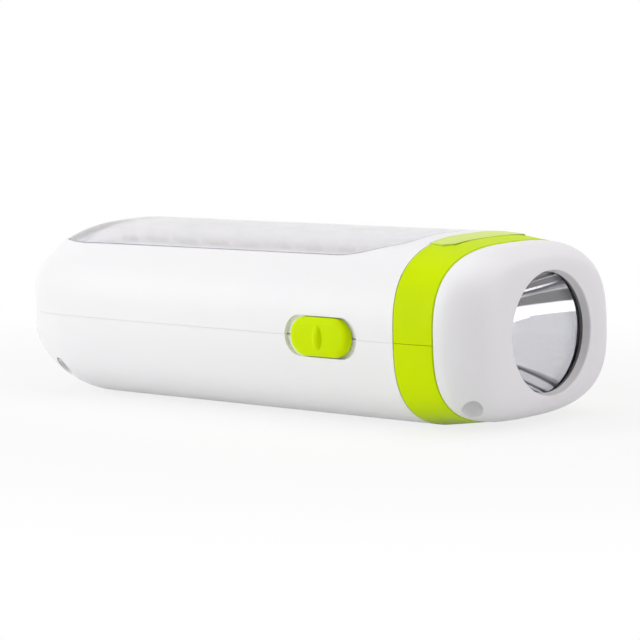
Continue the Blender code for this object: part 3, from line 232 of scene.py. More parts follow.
def prism(outline, low, high, place):
    """A closed form between two levels. place turns (u, v, level) into a point."""
    shape = bmesh.new()
    return close_form(shape, [closed_loop(shape, [place(u, v, level) for u, v in outline])
                              for level in (low, high)])


def upright(outline, low, high):
    return prism(outline, low, high, lambda u, v, z: (u, v, z))


def rod(x, y, low, high, radius, sides=48):
    """An upright round rod."""
    shape = bmesh.new()
    bmesh.ops.create_cone(shape, cap_ends=True, segments=sides, radius1=radius, radius2=radius,
                          depth=high - low, matrix=Matrix.Translation((x, y, (low + high) / 2)))
    return shape


def quarter(steps):
    """Angles of a quarter turn, in even steps."""
    return [pi / 2 * step / steps for step in range(steps + 1)]


def obround(long, high, steps=20):
    """A slot's outline, long in its first direction, on the middle of its place."""
    radius = high / 2
    straight = long / 2 - radius
    points = []
    for end in (1, -1):
        for step in range(steps + 1):
            angle = pi * step / steps - pi / 2
            points.append((end * (straight + radius * cos(angle)), end * radius * sin(angle)))
    return points


def new_material(name):
    """A material, its nodes, its links and its surface."""
    material = bpy.data.materials.new(name)
    material.use_nodes = True
    nodes, links = material.node_tree.nodes, material.node_tree.links
    return material, nodes, links, nodes["Principled BSDF"]


def grain(nodes, links, place, scale, detail=2):
    """Unevenness of the given fineness, from 0 to 1."""
    noise = nodes.new("ShaderNodeTexNoise")
    noise.inputs["Scale"].default_value = scale
    noise.inputs["Detail"].default_value = detail
    links.new(place, noise.inputs["Vector"])
    return noise.outputs["Fac"]


def ranged(nodes, links, value, low, high, start=0, end=1, course="LINEAR"):
    """A value that runs from low to high while another runs from start to end."""
    spread = nodes.new("ShaderNodeMapRange")
    spread.interpolation_type = course
    spread.inputs["From Min"].default_value, spread.inputs["From Max"].default_value = start, end
    spread.inputs["To Min"].default_value, spread.inputs["To Max"].default_value = low, high
    links.new(value, spread.inputs["Value"])
    return spread.outputs["Result"]


def drifting(nodes, links, value, shade, colour, start=0.0, end=1.0):
    """A colour that drifts from its shade, while a value runs from start to end."""
    ramp = nodes.new("ShaderNodeValToRGB")
    for stop, place, tone in zip(ramp.color_ramp.elements, (start, end), (shade, colour)):
        stop.position, stop.color = place, (*tone, 1)
    links.new(value, ramp.inputs["Fac"])
    return ramp.outputs["Color"]


blotch_scale, haze_scale, mould_scale = 45, 700, 2600
blotch_start, blotch_end = 0.35, 0.65
haze_spread = 0.05
mould_relief, mould_relief_height = 0.12, 0.00003
coat_roughness = 0.06


def moulded(name, colour, shade, roughness, coat=0.0, gloss=0.5):
    """Moulded plastic: a faint drift in colour and gloss, and the fine skin of a polished mould."""
    material, nodes, links, surface = new_material(name)
    surface.inputs["Specular IOR Level"].default_value = gloss
    surface.inputs["Coat Weight"].default_value = coat
    surface.inputs["Coat Roughness"].default_value = coat_roughness
    place = nodes.new("ShaderNodeTexCoord").outputs["Object"]
    blotches = grain(nodes, links, place, blotch_scale, 3)
    tint = drifting(nodes, links, blotches, shade, colour, blotch_start, blotch_end)
    links.new(tint, surface.inputs["Base Color"])
    haze = grain(nodes, links, place, haze_scale, 4)
    haze = ranged(nodes, links, haze, roughness - haze_spread, roughness + haze_spread)
    links.new(haze, surface.inputs["Roughness"])
    relief = nodes.new("ShaderNodeBump")
    relief.inputs["Strength"].default_value = mould_relief
    relief.inputs["Distance"].default_value = mould_relief_height
    links.new(grain(nodes, links, place, mould_scale), relief.inputs["Height"])
    links.new(relief.outputs["Normal"], surface.inputs["Normal"])
    return material


def dress(piece, name, material, slot, body, *nodes, sharp=34):
    """Name and shade a finished piece, set it on its body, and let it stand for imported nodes."""
    piece.name = piece.data.name = name
    piece.data.materials.clear()
    piece.data.materials.append(material)
    # A solid that was fused on brings its faceted shading along, which would smudge the skin.
    packed_shading = piece.data.attributes.get("custom_normal")
    if packed_shading:
        piece.data.attributes.remove(packed_shading)
    piece.data.shade_smooth()
    piece.data.set_sharp_from_angle(angle=radians(sharp))
    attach(piece, body)
    if nodes:
        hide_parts(*nodes)


def travel(name):
    """How far a sliding joint runs from rest to its upper limit."""
    return next(joint["range_m"][1] for joint in frame["joints"] if joint["name"] == name)


knob_low, knob_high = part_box("switch_knob")
switch_x, switch_z = (knob_low.x + knob_high.x) / 2, (knob_low.z + knob_high.z) / 2
knob_length, knob_height = knob_high.x - knob_low.x, knob_high.z - knob_low.z
knob_recess = 0.0014
side_y = half_sizes(switch_x)[0]
switch_travel = travel("switch_slide")

slider_low, slider_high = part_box("plug_slider")
slider_x, slider_z = (slider_low.x + slider_high.x) / 2, (slider_low.z + slider_high.z) / 2
slider_length, slider_height = slider_high.x - slider_low.x, slider_high.z - slider_low.z
post_half_length, post_half_height = 0.0022, 0.0016
plug_travel = travel("plug_slide")

cap_low, cap_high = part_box("plug_cap")
mouth_half_width = cap_high.y + gap
mouth_height = cap_high.z - cap_low.z + 2 * gap
mouth_x = cap_high.x + gap

recess_radius = 0.0029
screw_seat = 0.0114

window_rear_x, window_front_x = tail_x + 0.0108, band_rear_x - 0.0075
window_half_width = 0.0251
window_rear_half_width, window_front_half_width = 0.0238, 0.0176
window_rear_reach = 0.0230
window_shoulder_setback = 0.0215
window_corner, window_shoulder_corner = 0.0040, 0.0060
window_thickness = 0.0018


def eased(before, corner, after, reach, steps=10):
    """A corner rounded over a reach on both sides."""
    corner = Vector(corner)
    start = corner + (Vector(before) - corner).normalized() * reach
    end = corner + (Vector(after) - corner).normalized() * reach
    return [start * (1 - t) ** 2 + corner * 2 * t * (1 - t) + end * t ** 2
            for t in [step / steps for step in range(steps + 1)]]


def window_outline(grow):
    """The window from above: half an ellipse at the tail, two eased corners on each side."""
    rear, front = window_rear_x - grow, window_front_x + grow
    rear_half = window_rear_half_width + grow
    middle = rear + window_rear_reach
    right = [Vector((middle - window_rear_reach * cos(angle), -rear_half * sin(angle)))
             for angle in quarter(40)]
    shoulder = (band_rear_x - window_shoulder_setback + grow / 2, -window_half_width - grow)
    corner = (front, -window_front_half_width - grow / 2)
    right += eased((middle, -rear_half), shoulder, corner, window_shoulder_corner)
    right += eased(shoulder, corner, (front, 0), window_corner)
    left = [Vector((point.x, -point.y)) for point in reversed(right[1:])]
    return right + left


pad_low, pad_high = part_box("band_pad")
pad_corner = 0.0024
pad_depth = 0.0016


def pad_outline(grow):
    """The green pad from above: its two front corners are cut."""
    rear, front, half = pad_low.x - grow, pad_high.x + grow, pad_high.y + grow
    return [(rear, -half), (front - pad_corner, -half), (front, -half + pad_corner),
            (front, half - pad_corner), (front - pad_corner, half), (rear, half)]


def roof_seat(outline, depth, end_x):
    """What a piece let into the roof takes out of it, down to an even depth."""
    return cut(solid(upright(outline, axis_z, roof_z + overrun)), body_form(depth, end_x))


def roof_cutters():
    """What opens the roof: the window's seat and the pad's."""
    grow = gap + hair
    return [roof_seat(window_outline(grow), window_thickness + gap + hair, band_rear_x),
            roof_seat(pad_outline(grow), pad_depth + gap + hair, band_front_x)]


def side_cutters():
    """The sunk seats of the knob and the slider, and the mouth of the plug."""
    grow = 2 * (gap + hair)
    outline = obround(knob_length + 2 * (gap + switch_travel + hair), knob_height + grow)
    knob = prism(outline, -side_y - overrun, -side_y + knob_recess + hair,
                 lambda u, w, y: (switch_x + u, y, switch_z + w))
    outline = obround(slider_length + plug_travel + grow, slider_height + grow)
    slider = prism(outline, slider_low.y - gap - hair, slider_low.y + overrun,
                   lambda u, w, y: (slider_x - plug_travel / 2 + u, y, slider_z + w))
    outline = obround(2 * (mouth_half_width + hair), mouth_height + 2 * hair)
    mouth = prism(outline, tail_x - overrun, mouth_x + hair, lambda u, w, x: (x, u, axis_z + w))
    return [knob, slider, mouth]


def post_way():
    """The slot in which the plug's post runs from its rest to its limit."""
    half_long, half_high = post_half_length + gap, post_half_height + gap
    return block((slider_x - plug_travel - half_long, slider_low.y - overrun, slider_z - half_high),
                 (slider_x + half_long, slider_low.y, slider_z + half_high))


def shell(upper):
    """One half of the case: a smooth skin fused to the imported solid, with its openings cut."""
    skin = solid(halved(body_form(-skin_proud, band_rear_x), upper, seam_slit))
    cut(skin, body_form(skin_depth, band_rear_x + overrun))
    cut(skin, post_way())
    fuse(skin, packed_copy("upper_shell" if upper else "lower_shell"))
    cut(skin, *side_cutters())
    if upper:
        return cut(skin, *roof_cutters())
    screws = [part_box(node) for node in ("rear_screw_right", "rear_screw_left")]
    return cut(skin, *[rod((low.x + high.x) / 2, (low.y + high.y) / 2, -overrun, screw_seat - gap,
                           recess_radius) for low, high in screws])


white_plastic = moulded("white_plastic", (0.92, 0.92, 0.925), (0.91, 0.91, 0.92), 0.42)
dress(shell(True), "case_roof", white_plastic, "white_shell", "case", "upper_shell")
dress(shell(False), "case_floor", white_plastic, "white_shell", "case", "lower_shell")


# Green band. Two moulded halves that clip round the neck of the case and meet at its seam, which
# shows across them as a fine dark line. Their ends are flush with the case and the head.
green_plastic = moulded("green_plastic", (0.67, 0.885, 0.0), (0.64, 0.855, 0.0), 0.42, gloss=0.04)
band_wall = 0.0022
band_stations = 8
band_slit = 0.00012
edge_round = 0.00018


def band_half(upper):
    """One half of the band, bored for the neck, and with the pad's seat in the upper one."""
    start, end = band_rear_x + gap / 2, band_front_x - gap / 2
    rounded = [(start, edge_round), (start + edge_round, 0)]
    rounded += [(start + (end - start) * step / band_stations, 0)
                for step in range(1, band_stations)]
    rounded += [(end - edge_round, 0), (end, edge_round)]
    rings = [(x, *[half - inset for half in half_sizes(x)]) for x, inset in rounded]
    band = solid(halved(ring_form(rings), upper, band_slit))
    bore = []
    for x in (start - overrun, start, end, end + overrun):
        inside = min(max(x, band_rear_x + gap / 10), band_front_x)
        bore.append((x, *half_sizes(inside, band_wall), band_wall))
    cut(band, ring_form(bore))
    if upper:
        cut(band, roof_seat(pad_outline(gap), pad_depth + gap, band_front_x))
    return band


dress(band_half(True), "band_roof", green_plastic, "green_trim", "case", "band_upper")
dress(band_half(False), "band_floor", green_plastic, "green_trim", "case", "band_lower")


# Head. One white moulding that slips over the neck. Its side runs in a soft curve to a flat face,
# the lens opening has a rounded edge, and two screws from below draw it to the case.
face_soft_start = 0.80
face_inner_share = 0.80
head_stations, crease_steps = 24, 12
opening_round = 0.0005
opening_radius = face_height / 2 - 0.0021
lip_radius = opening_radius - 0.0005
lip_x = nose_x - 0.0024
pocket_radius = opening_radius + 0.0024
head_wall = 0.0022
neck_end_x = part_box("front_lens")[0].x + gap
front_screw_x = nose_x - 0.0081
screw_spread = tail_width / 2 - 0.0059
screw_radius = 0.0013
boss_wall = 0.0017
boss_floor = 0.0020


def turn_round(shape, centre, axis, steps):
    """Turn all that a shape holds once round an axis, and heal where its ends meet."""
    bmesh.ops.spin(shape, geom=shape.verts[:] + shape.edges[:], cent=centre, axis=axis, angle=tau,
                   steps=steps, use_merge=True)
    bmesh.ops.remove_doubles(shape, verts=shape.verts, dist=merge_distance)
    bmesh.ops.recalc_face_normals(shape, faces=shape.faces)
    return shape


def turned(outline, steps=144, y=0.0):
    """A closed outline of (x, radius) points turned round the spot lamp's axis, or beside it."""
    shape = bmesh.new()
    closed_loop(shape, [(x, y, axis_z + radius) for x, radius in outline])
    return turn_round(shape, (0, y, axis_z), (1, 0, 0), steps)


def head_form():
    """The head's outside, with its crease to the face drawn soft."""
    start = band_front_x + gap / 2
    rings = [(start, *[half - edge_round for half in half_sizes(start)])]
    for step in range(1, head_stations + 1):
        x = start + edge_round + (nose_x - start) * face_soft_start * sqrt(step / head_stations)
        rings.append((x, *half_sizes(x)))
    begin = rings[-1]
    crease = (nose_x, face_width / 2, face_height / 2)
    end = (nose_x, crease[1] * face_inner_share, crease[2] * face_inner_share)
    for t in [step / crease_steps for step in range(1, crease_steps + 1)]:
        rings.append([a * (1 - t) ** 2 + b * 2 * t * (1 - t) + c * t ** 2
                      for a, b, c in zip(begin, crease, end)])
    return ring_form(rings)


def head():
    """The head, hollowed for the neck and the spot lamp, with its two screw bosses."""
    piece = solid(head_form())
    start, end = band_front_x, neck_end_x + gap
    places = [start - overrun] + [start + (end - start) * sqrt(step / 8) for step in range(9)]
    space = solid(ring_form([(x, *half_sizes(max(x, start), head_wall), head_wall)
                             for x in places]))
    screws = [(front_screw_x, side * screw_spread) for side in (-1, 1)]
    cut(space, *[rod(*place, -overrun, screw_seat + boss_floor, recess_radius + boss_wall)
                 for place in screws])
    mouth = [(nose_x - opening_round * (1 - sin(angle)),
              opening_radius + opening_round * (1 - cos(angle))) for angle in quarter(6)]
    opening = turned([(end - overrun, 0), (end - overrun, lip_radius), (lip_x, lip_radius), *mouth,
                      (nose_x + overrun, opening_radius + opening_round), (nose_x + overrun, 0)])
    pocket = turned([(end - overrun, 0), (end - overrun, pocket_radius), (lip_x, pocket_radius),
                     (lip_x, 0)])
    cut(piece, space)
    cut(piece, opening, pocket)
    cut(piece, *[rod(*place, -overrun, screw_seat, recess_radius) for place in screws])
    return cut(piece, *[rod(*place, screw_seat - gap, seam_z, screw_radius + gap)
                        for place in screws])


dress(head(), "head", white_plastic, "white_shell", "case", "head_bezel", sharp=40)


# Spot lamp. A metallised plastic bowl with a clear lens and a soft seal in front of it, whose dark
# grey is partly its rubber and partly painted shade of the gap behind the lip. The emitter stands
# on a metal star board, and that on a rolled plate in the case that takes its heat.
metal_scale, metal_detail = 900, 5
metal_shade = 0.86
metal_gloss_low, metal_gloss_high = 0.7, 1.3
haze_shade = 0.99
acrylic_index = 1.49


def satin_metal(name, colour, roughness, streak=(1, 1, 1)):
    """Plated or rolled metal: its gloss drifts, along the way it was worked if that is given."""
    material, nodes, links, surface = new_material(name)
    surface.inputs["Metallic"].default_value = 1
    stretch = nodes.new("ShaderNodeMapping")
    stretch.inputs["Scale"].default_value = streak
    links.new(nodes.new("ShaderNodeTexCoord").outputs["Object"], stretch.inputs["Vector"])
    wear = grain(nodes, links, stretch.outputs["Vector"], metal_scale, metal_detail)
    tint = drifting(nodes, links, wear, [share * metal_shade for share in colour], colour)
    links.new(tint, surface.inputs["Base Color"])
    gloss = ranged(nodes, links, wear, roughness * metal_gloss_low, roughness * metal_gloss_high)
    links.new(gloss, surface.inputs["Roughness"])
    return material


def clear_plastic(name, tint, roughness, clearness=1.0):
    """Clear plastic with a trace of haze in it, or milkier where its clearness is lower."""
    material = moulded(name, tint, [share * haze_shade for share in tint], roughness)
    surface = material.node_tree.nodes["Principled BSDF"]
    surface.inputs["Transmission Weight"].default_value = clearness
    surface.inputs["IOR"].default_value = acrylic_index
    return material


def redress(material, *names):
    """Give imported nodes, whose shape stays, a better material."""
    for name in names:
        for place in frame["nodes"][name].material_slots:
            place.material = material


mirror_coat = satin_metal("mirror_coat", (0.88, 0.88, 0.90), 0.04)
reflector_front_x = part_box("reflector")[1].x
reflector_mouth = opening_radius + 0.0002
reflector_focus = reflector_mouth * 0.1685
reflector_throat = 0.0040
reflector_wall = 0.0012
flange_x = reflector_front_x - 0.0013
pocket_fit = pocket_radius - gap
bowl_steps = 40

# The bowl is a paraboloid, which throws the emitter's light forward.
inside = []
for step in range(bowl_steps + 1):
    radius = reflector_throat + (reflector_mouth - reflector_throat) * step / bowl_steps
    depth = (reflector_mouth ** 2 - radius ** 2) / (4 * reflector_focus)
    inside.append((reflector_front_x - depth, radius))
outside = [(x, radius + reflector_wall) for x, radius in inside if x < flange_x - gap]
flange = [(reflector_front_x, pocket_fit), (flange_x, pocket_fit), (flange_x, outside[-1][1])]
bowl = solid(turned(inside + flange + outside[::-1]))
dress(bowl, "reflector_bowl", mirror_coat, "mirror_coat", "case", "reflector")

lens_clear = clear_plastic("lens_clear", (0.98, 0.98, 0.99), 0.05)
ease = 0.0002
low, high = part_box("front_lens")
lens = solid(turned([(low.x, 0), (low.x, pocket_fit - ease), (low.x + ease, pocket_fit),
                     (high.x - ease, pocket_fit), (high.x, pocket_fit - ease), (high.x, 0)]))
dress(lens, "lens", lens_clear, "clear_lens", "case", "front_lens")

# Its dark grey is partly the rubber's own and partly painted shade of the gap between the lip and
# the lens.
seal_rubber = moulded("seal_rubber", (0.20, 0.195, 0.20), (0.17, 0.165, 0.17), 0.6)
seal_bore = lip_radius + gap / 2
low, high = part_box("lens_seal")
seal = solid(turned([(low.x, seal_bore + ease), (low.x + ease, seal_bore),
                     (high.x - ease, seal_bore), (high.x, seal_bore + ease),
                     (high.x, pocket_fit), (low.x, pocket_fit)]))
dress(seal, "seal_ring", seal_rubber, "seal_rubber", "case", "lens_seal")

emitter_glow = moulded("emitter_phosphor", (0.90, 0.80, 0.30), (0.85, 0.74, 0.24), 0.25, 0.5)
emitter_base = 0.0009
emitter_dome = 0.0017
small_steps = 48
low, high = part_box("spot_led")
emitter = solid(block(low, (low.x + emitter_base, high.y, high.z), ease / 2))
dome = [(low.x + emitter_base - ease + (high.x - low.x - emitter_base + ease) * sin(angle),
         emitter_dome * cos(angle)) for angle in quarter(12)]
fuse(emitter, turned([(low.x + emitter_base / 2, 0), (low.x + emitter_base / 2, emitter_dome),
                      *dome[:-1], (dome[-1][0], 0)], small_steps))
dress(emitter, "emitter", emitter_glow, "spot_emitter", "case", "spot_led")

solder_mask = moulded("white_solder_mask", (0.80, 0.80, 0.78), (0.74, 0.74, 0.72), 0.40)
rolled_aluminium = satin_metal("rolled_aluminium", (0.80, 0.81, 0.82), 0.32, (1, 0.05, 1))
redress(solder_mask, "led_star_board")
redress(rolled_aluminium, "heat_sink_plate")


# Green pad. A moulding let into the roof of the band. Its top meets the roof level and grows
# flatter towards its front, where it overhangs a slanting edge. It is pressed into its seat.
# Its base colour is paler than the band's green: painted sheen of light grazing its top.
green_with_painted_sheen = moulded("green_with_painted_sheen", (0.69, 0.86, 0.12), (0.67, 0.84, 0.10), 0.36, gloss=0.3)
pad_rise = 0.00005
pad_flattening = 0.0060
pad_stations = 12


def keep(piece, shape):
    """Leave of a piece only what lies inside another form."""
    return combine("INTERSECT", piece, shape)


rings = []
for x in (pad_low.x - overrun, band_rear_x, pad_high.x + pad_rise):
    half_wide, half_high = half_sizes(max(x, band_rear_x))
    flatter = pad_flattening * max(x - band_rear_x, 0) / (pad_high.x - band_rear_x)
    rings.append((x, half_wide + pad_rise + flatter, half_high + pad_rise))
pad = solid(ring_form(rings))
front_half_wide, front_half_high = rings[-1][1:]

# Its underside follows the band below it.
start, end = band_rear_x - overrun, band_front_x
rings = []
for step in range(pad_stations + 1):
    x = start - overrun + (end - start + 2 * overrun) * step / pad_stations
    rings.append((x, *[half - pad_depth for half in half_sizes(min(x, end))]))
cut(pad, ring_form(rings))
keep(pad, upright(pad_outline(0), axis_z, roof_z + overrun))

# The front leans back from under its top edge.
undercut = ((pad_depth, pad_depth), (0, gap / 2), (-overrun, gap / 2))
cut(pad, ring_form([(pad_high.x - setback, front_half_wide - drop, front_half_high - drop)
                    for setback, drop in undercut]))
dress(pad, "pad", green_with_painted_sheen, "green_trim", "case", "band_pad")


# Screws. Zinc-plated pan heads with a cross recess: two at the tail draw the shells together and
# two in front hold the head, all up from below. The smaller ones hold tray, strap and board.
zinc_steel = satin_metal("zinc_steel", (0.62, 0.62, 0.63), 0.32)
head_side_share = 0.45
cross_depth_share, cross_reach_share, cross_width_share = 0.6, 0.62, 0.11
thread_pitch, thread_depth = 0.0009, 0.00018
screw_steps = 32
case_head_height = 0.0018
tray_screw_radius, tray_head_height = 0.0010, 0.0016
board_screw_radius, board_head_height = 0.0010, 0.0012
strap_screw_radius, strap_head_height = 0.0011, 0.0014


def screw(node, radius, head_height, head_up):
    """A threaded pan-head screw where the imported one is."""
    low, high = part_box(node)
    x, y = (low.x + high.x) / 2, (low.y + high.y) / 2
    head_radius, length = (high.x - low.x) / 2, high.z - low.z - head_height
    core = radius - thread_depth
    outline = [(0, -length), (radius / 3, -length)]
    for turn in range(int((length - radius - 2 * thread_pitch) / thread_pitch)):
        level = -length + radius + turn * thread_pitch
        outline += [(core, level), (radius, level + thread_pitch / 2)]
    outline += [(core, -thread_pitch), (core, 0), (head_radius, 0)]
    outline += [(head_radius * cos(angle),
                 head_height * (head_side_share + (1 - head_side_share) * sin(angle)))
                for angle in quarter(8)[:-1]] + [(0, head_height)]
    sign = 1 if head_up else -1
    seat = high.z - head_height if head_up else low.z + head_height
    shape = bmesh.new()
    corners = [shape.verts.new((x + reach, y, seat + sign * lift)) for reach, lift in outline]
    for pair in zip(corners, corners[1:]):
        shape.edges.new(pair)
    piece = solid(turn_round(shape, (x, y, 0), (0, 0, 1), screw_steps))
    far, near = head_radius * cross_reach_share, head_radius * cross_width_share
    plus = [(near, near), (far, near), (far, -near), (near, -near), (near, -far), (-near, -far),
            (-near, -near), (-far, -near), (-far, near), (-near, near), (-near, far), (near, far)]
    ends = sorted((seat + sign * head_height * (1 - cross_depth_share),
                   seat + sign * (head_height + overrun)))
    cut(piece, upright([(x + u, y + v) for u, v in plus], *ends))
    dress(piece, "steel_" + node, zinc_steel, "screw_steel", "case", node, sharp=40)


for place in ("rear", "head"):
    for side in ("right", "left"):
        screw(f"{place}_screw_{side}", screw_radius, case_head_height, False)
for place in ("rear", "front"):
    screw(f"tray_screw_{place}", tray_screw_radius, tray_head_height, True)
    screw(f"board_screw_{place}", board_screw_radius, board_head_height, False)
for side in ("right", "left"):
    screw(f"strap_screw_{side}", strap_screw_radius, strap_head_height, True)


# Side lamp. A clear moulded window lies in the roof, flush with it. The white tray under it holds
# the strip board with its eighteen emitters, and is screwed down to bosses of the roof.
window_clear = clear_plastic("window_clear", (0.985, 0.975, 1.0), 0.07, 0.85)
window = solid(upright(window_outline(0), axis_z, roof_z + overrun))
keep(window, body_form(0, band_rear_x))
cut(window, body_form(window_thickness, band_rear_x))
dress(window, "window", window_clear, "clear_window", "case", "side_window")

redress(white_plastic, "side_tray")

low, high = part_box("side_led_strip")
strip_thickness = 0.0012
led_columns = 9
led_width = 0.0036
led_row_spread = (high.y - low.y) / 2 * 0.53
phosphor_width = 0.0026
board = solid(block(low, (high.x, high.y, low.z + strip_thickness), ease / 2, 2))
housings, phosphor = bmesh.new(), bmesh.new()
for column in range(led_columns):
    x = low.x + (high.x - low.x) * (column + 0.5) / led_columns
    for y in (-led_row_spread, led_row_spread):
        for shape, half, bottom, top in (
                (housings, led_width / 2, low.z + strip_thickness / 2, high.z - ease / 2),
                (phosphor, phosphor_width / 2, high.z - ease, high.z)):
            add_block(shape, (x - half, y - half, bottom), (x + half, y + half, top))
fuse(board, soften(housings, ease / 2))
dress(board, "strip_board", solder_mask, "strip_board", "case", "side_led_strip")
emitters = solid(soften(phosphor, ease / 4))
dress(emitters, "strip_emitters", emitter_glow, "spot_emitter", "case")


# Lamp switch. A green thumb knob with a soft edge and an upright ridge rides in the sunk seat. Its
# stem takes the lever of a steel-cased slide switch behind the wall.
knob_rise = 0.0013
knob_soft = 0.0022
knob_wall_share = 0.1
knob_steps = 24
ridge_width, ridge_height, ridge_rise = 0.0034, 0.0076, 0.0012
ridge_sunk_share = 0.6
stem_half_length, stem_half_height = 0.0031, 0.0022


def slot_form(long, high, profile, place, steps=20):
    """A closed form on a slot's outline, through levels that each have their own inset."""
    shape = bmesh.new()
    return close_form(shape, [
        closed_loop(shape, [place(u, w, level)
                            for u, w in obround(long - 2 * inset, high - 2 * inset, steps)])
        for inset, level in profile])


crest = -side_y - knob_rise
profile = [(0.0, -side_y + knob_recess - gap), (0.0, -side_y + knob_rise * knob_wall_share)]
profile += [(knob_soft * (1 - cos(angle)), -side_y - knob_rise * sin(angle))
            for angle in quarter(8)[1:]]
knob = solid(slot_form(knob_length, knob_height, profile,
                       lambda u, w, y: (switch_x + u, y, switch_z + w), knob_steps))
ridge = bmesh.new()
middle = Matrix.Translation((switch_x, crest + ridge_rise * ridge_sunk_share, switch_z))
size = Matrix.Diagonal((ridge_width / 2, ridge_rise * (1 + ridge_sunk_share), ridge_height / 2, 1))
bmesh.ops.create_uvsphere(ridge, u_segments=40, v_segments=24, radius=1, matrix=middle @ size)
fuse(knob, ridge)
fuse(knob, block((switch_x - stem_half_length, -side_y + knob_recess - 2 * gap,
                  switch_z - stem_half_height),
                 (switch_x + stem_half_length, knob_high.y, switch_z + stem_half_height)))
low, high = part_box("switch_lever")
cut(knob, block((low.x - gap, low.y - gap, low.z - gap),
                (high.x + gap, high.y + gap, high.z + gap)))
dress(knob, "thumb_knob", green_plastic, "green_trim", "lamp_switch", "switch_knob", sharp=50)

black_plastic = moulded("black_plastic", (0.05, 0.05, 0.055), (0.035, 0.035, 0.04), 0.45)
redress(zinc_steel, "switch_body")
redress(black_plastic, "switch_lever")


# End cap. A white moulding pressed into the plug's mouth and set back a hair from the tail. Two
# legs stand on the mouth's end wall, and each pin slides through a hole of its own.
cap_sunk = 0.0004
cap_wall = 0.0015
cap_leg_spread = 0.0200
cap_leg_width, cap_leg_height = 0.0030, 0.0060
pins = [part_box(node) for node in ("plug_pin_right", "plug_pin_left")]
pin_radius = (pins[0][1].y - pins[0][0].y) / 2
pin_spread = (pins[1][0].y + pins[1][1].y) / 2
outline = obround(2 * cap_high.y, cap_high.z - cap_low.z)
cap = solid(prism(outline, tail_x - overrun, cap_high.x, lambda u, w, x: (x, u, axis_z + w)))
keep(cap, body_form(cap_sunk, band_rear_x))
hollow = solid(body_form(cap_sunk + cap_wall, band_rear_x))
legs = [block((tail_x, side * cap_leg_spread - cap_leg_width / 2, axis_z - cap_leg_height / 2),
              (mouth_x + overrun, side * cap_leg_spread + cap_leg_width / 2,
               axis_z + cap_leg_height / 2)) for side in (-1, 1)]
cut(hollow, *legs)
hole = [(tail_x - overrun, 0), (tail_x - overrun, pin_radius + gap), (mouth_x, pin_radius + gap),
        (mouth_x, 0)]
cut(cap, hollow, *[turned(hole, small_steps, side * pin_spread) for side in (-1, 1)])
dress(cap, "end_cap", white_plastic, "white_shell", "case", "plug_cap")


# Charging plug. Two nickel-plated pins in a white carriage that slides in the case, pushed by a
# ribbed thumb piece on the left side. Brass strips bear on the pins.
nickel = satin_metal("nickel_plate", (0.76, 0.75, 0.72), 0.14, (0.1, 1, 1))
spring_brass = satin_metal("spring_brass", (0.80, 0.58, 0.25), 0.25, (0.1, 1, 1))
slider_soft = 0.0008
grip_width = 0.0009
grips = 4

for (low, high), side in zip(pins, ("right", "left")):
    tip = [(low.x + pin_radius * (1 - cos(angle)) / 2, pin_radius * (1 + sin(angle)) / 2)
           for angle in quarter(10)]
    rear = [(high.x - ease, pin_radius), (high.x, pin_radius - ease), (high.x, 0)]
    pin = solid(turned([(low.x, 0)] + tip + rear, small_steps, (low.y + high.y) / 2))
    dress(pin, f"nickel_pin_{side}", nickel, "nickel_pins", "charging_plug", f"plug_pin_{side}")

profile = [(0.0, slider_low.y), (0.0, slider_high.y - slider_soft)]
profile += [(slider_soft * (1 - cos(angle)), slider_high.y - slider_soft * (1 - sin(angle)))
            for angle in quarter(8)[1:]]
thumb = solid(slot_form(slider_length, slider_height, profile,
                        lambda u, w, y: (slider_x + u, y, slider_z + w)))
grooves = []
for step in range(grips):
    x = slider_x + (step - (grips - 1) / 2) * 2 * grip_width
    grooves.append(block((x - grip_width / 2, slider_high.y - slider_soft / 2,
                          slider_z - slider_height / 3),
                         (x + grip_width / 2, slider_high.y + overrun,
                          slider_z + slider_height / 3), grip_width / 5))
post_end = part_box("plug_carriage")[1].y
socket = block((slider_x - post_half_length - gap, slider_low.y - overrun,
                slider_z - post_half_height - gap),
               (slider_x + post_half_length + gap, post_end + gap,
                slider_z + post_half_height + gap))
cut(thumb, socket, *grooves)
dress(thumb, "thumb_slider", white_plastic, "white_shell", "charging_plug", "plug_slider",
      sharp=50)
redress(white_plastic, "plug_carriage")
redress(spring_brass, "plug_brush_right", "plug_brush_left")


# Battery and charging board. A sealed block lies in the cradle under a tinned strap. The board
# above the carriage carries a film capacitor, a can, four diodes and the brushes.
battery_case = moulded("battery_case", (0.16, 0.17, 0.19), (0.13, 0.14, 0.16), 0.5)
tinned_steel = satin_metal("tinned_steel", (0.75, 0.74, 0.72), 0.26, (1, 0.08, 1))
film_resin = moulded("film_resin", (0.70, 0.22, 0.08), (0.62, 0.18, 0.06), 0.25, 0.4)
can_sleeve = moulded("can_sleeve", (0.08, 0.10, 0.25), (0.06, 0.08, 0.21), 0.3, 0.3)
board_mask = moulded("board_mask", (0.05, 0.30, 0.14), (0.03, 0.22, 0.10), 0.35, 0.3)
redress(battery_case, "battery")
redress(tinned_steel, "battery_strap", "battery_tab_right", "battery_tab_left")
redress(board_mask, "charge_board")
redress(film_resin, "dropper_capacitor")
redress(can_sleeve, "filter_capacitor")
redress(black_plastic, *[f"bridge_diode_{number}" for number in (1, 2, 3, 4)])


# Leads. Insulated stranded wire in red and black between the board, the battery, the switch and
# the two lamps, soldered at both ends.
red_sleeve = moulded("red_sleeve", (0.60, 0.03, 0.03), (0.52, 0.02, 0.02), 0.4)
black_sleeve = moulded("black_sleeve", (0.03, 0.03, 0.035), (0.02, 0.02, 0.025), 0.4)
redress(red_sleeve, "battery_lead_red", "side_lead_red", "spot_lead_red", "switch_lead_common",
        "switch_lead_throw")
redress(black_sleeve, "battery_lead_black", "side_lead_black", "spot_lead_black")


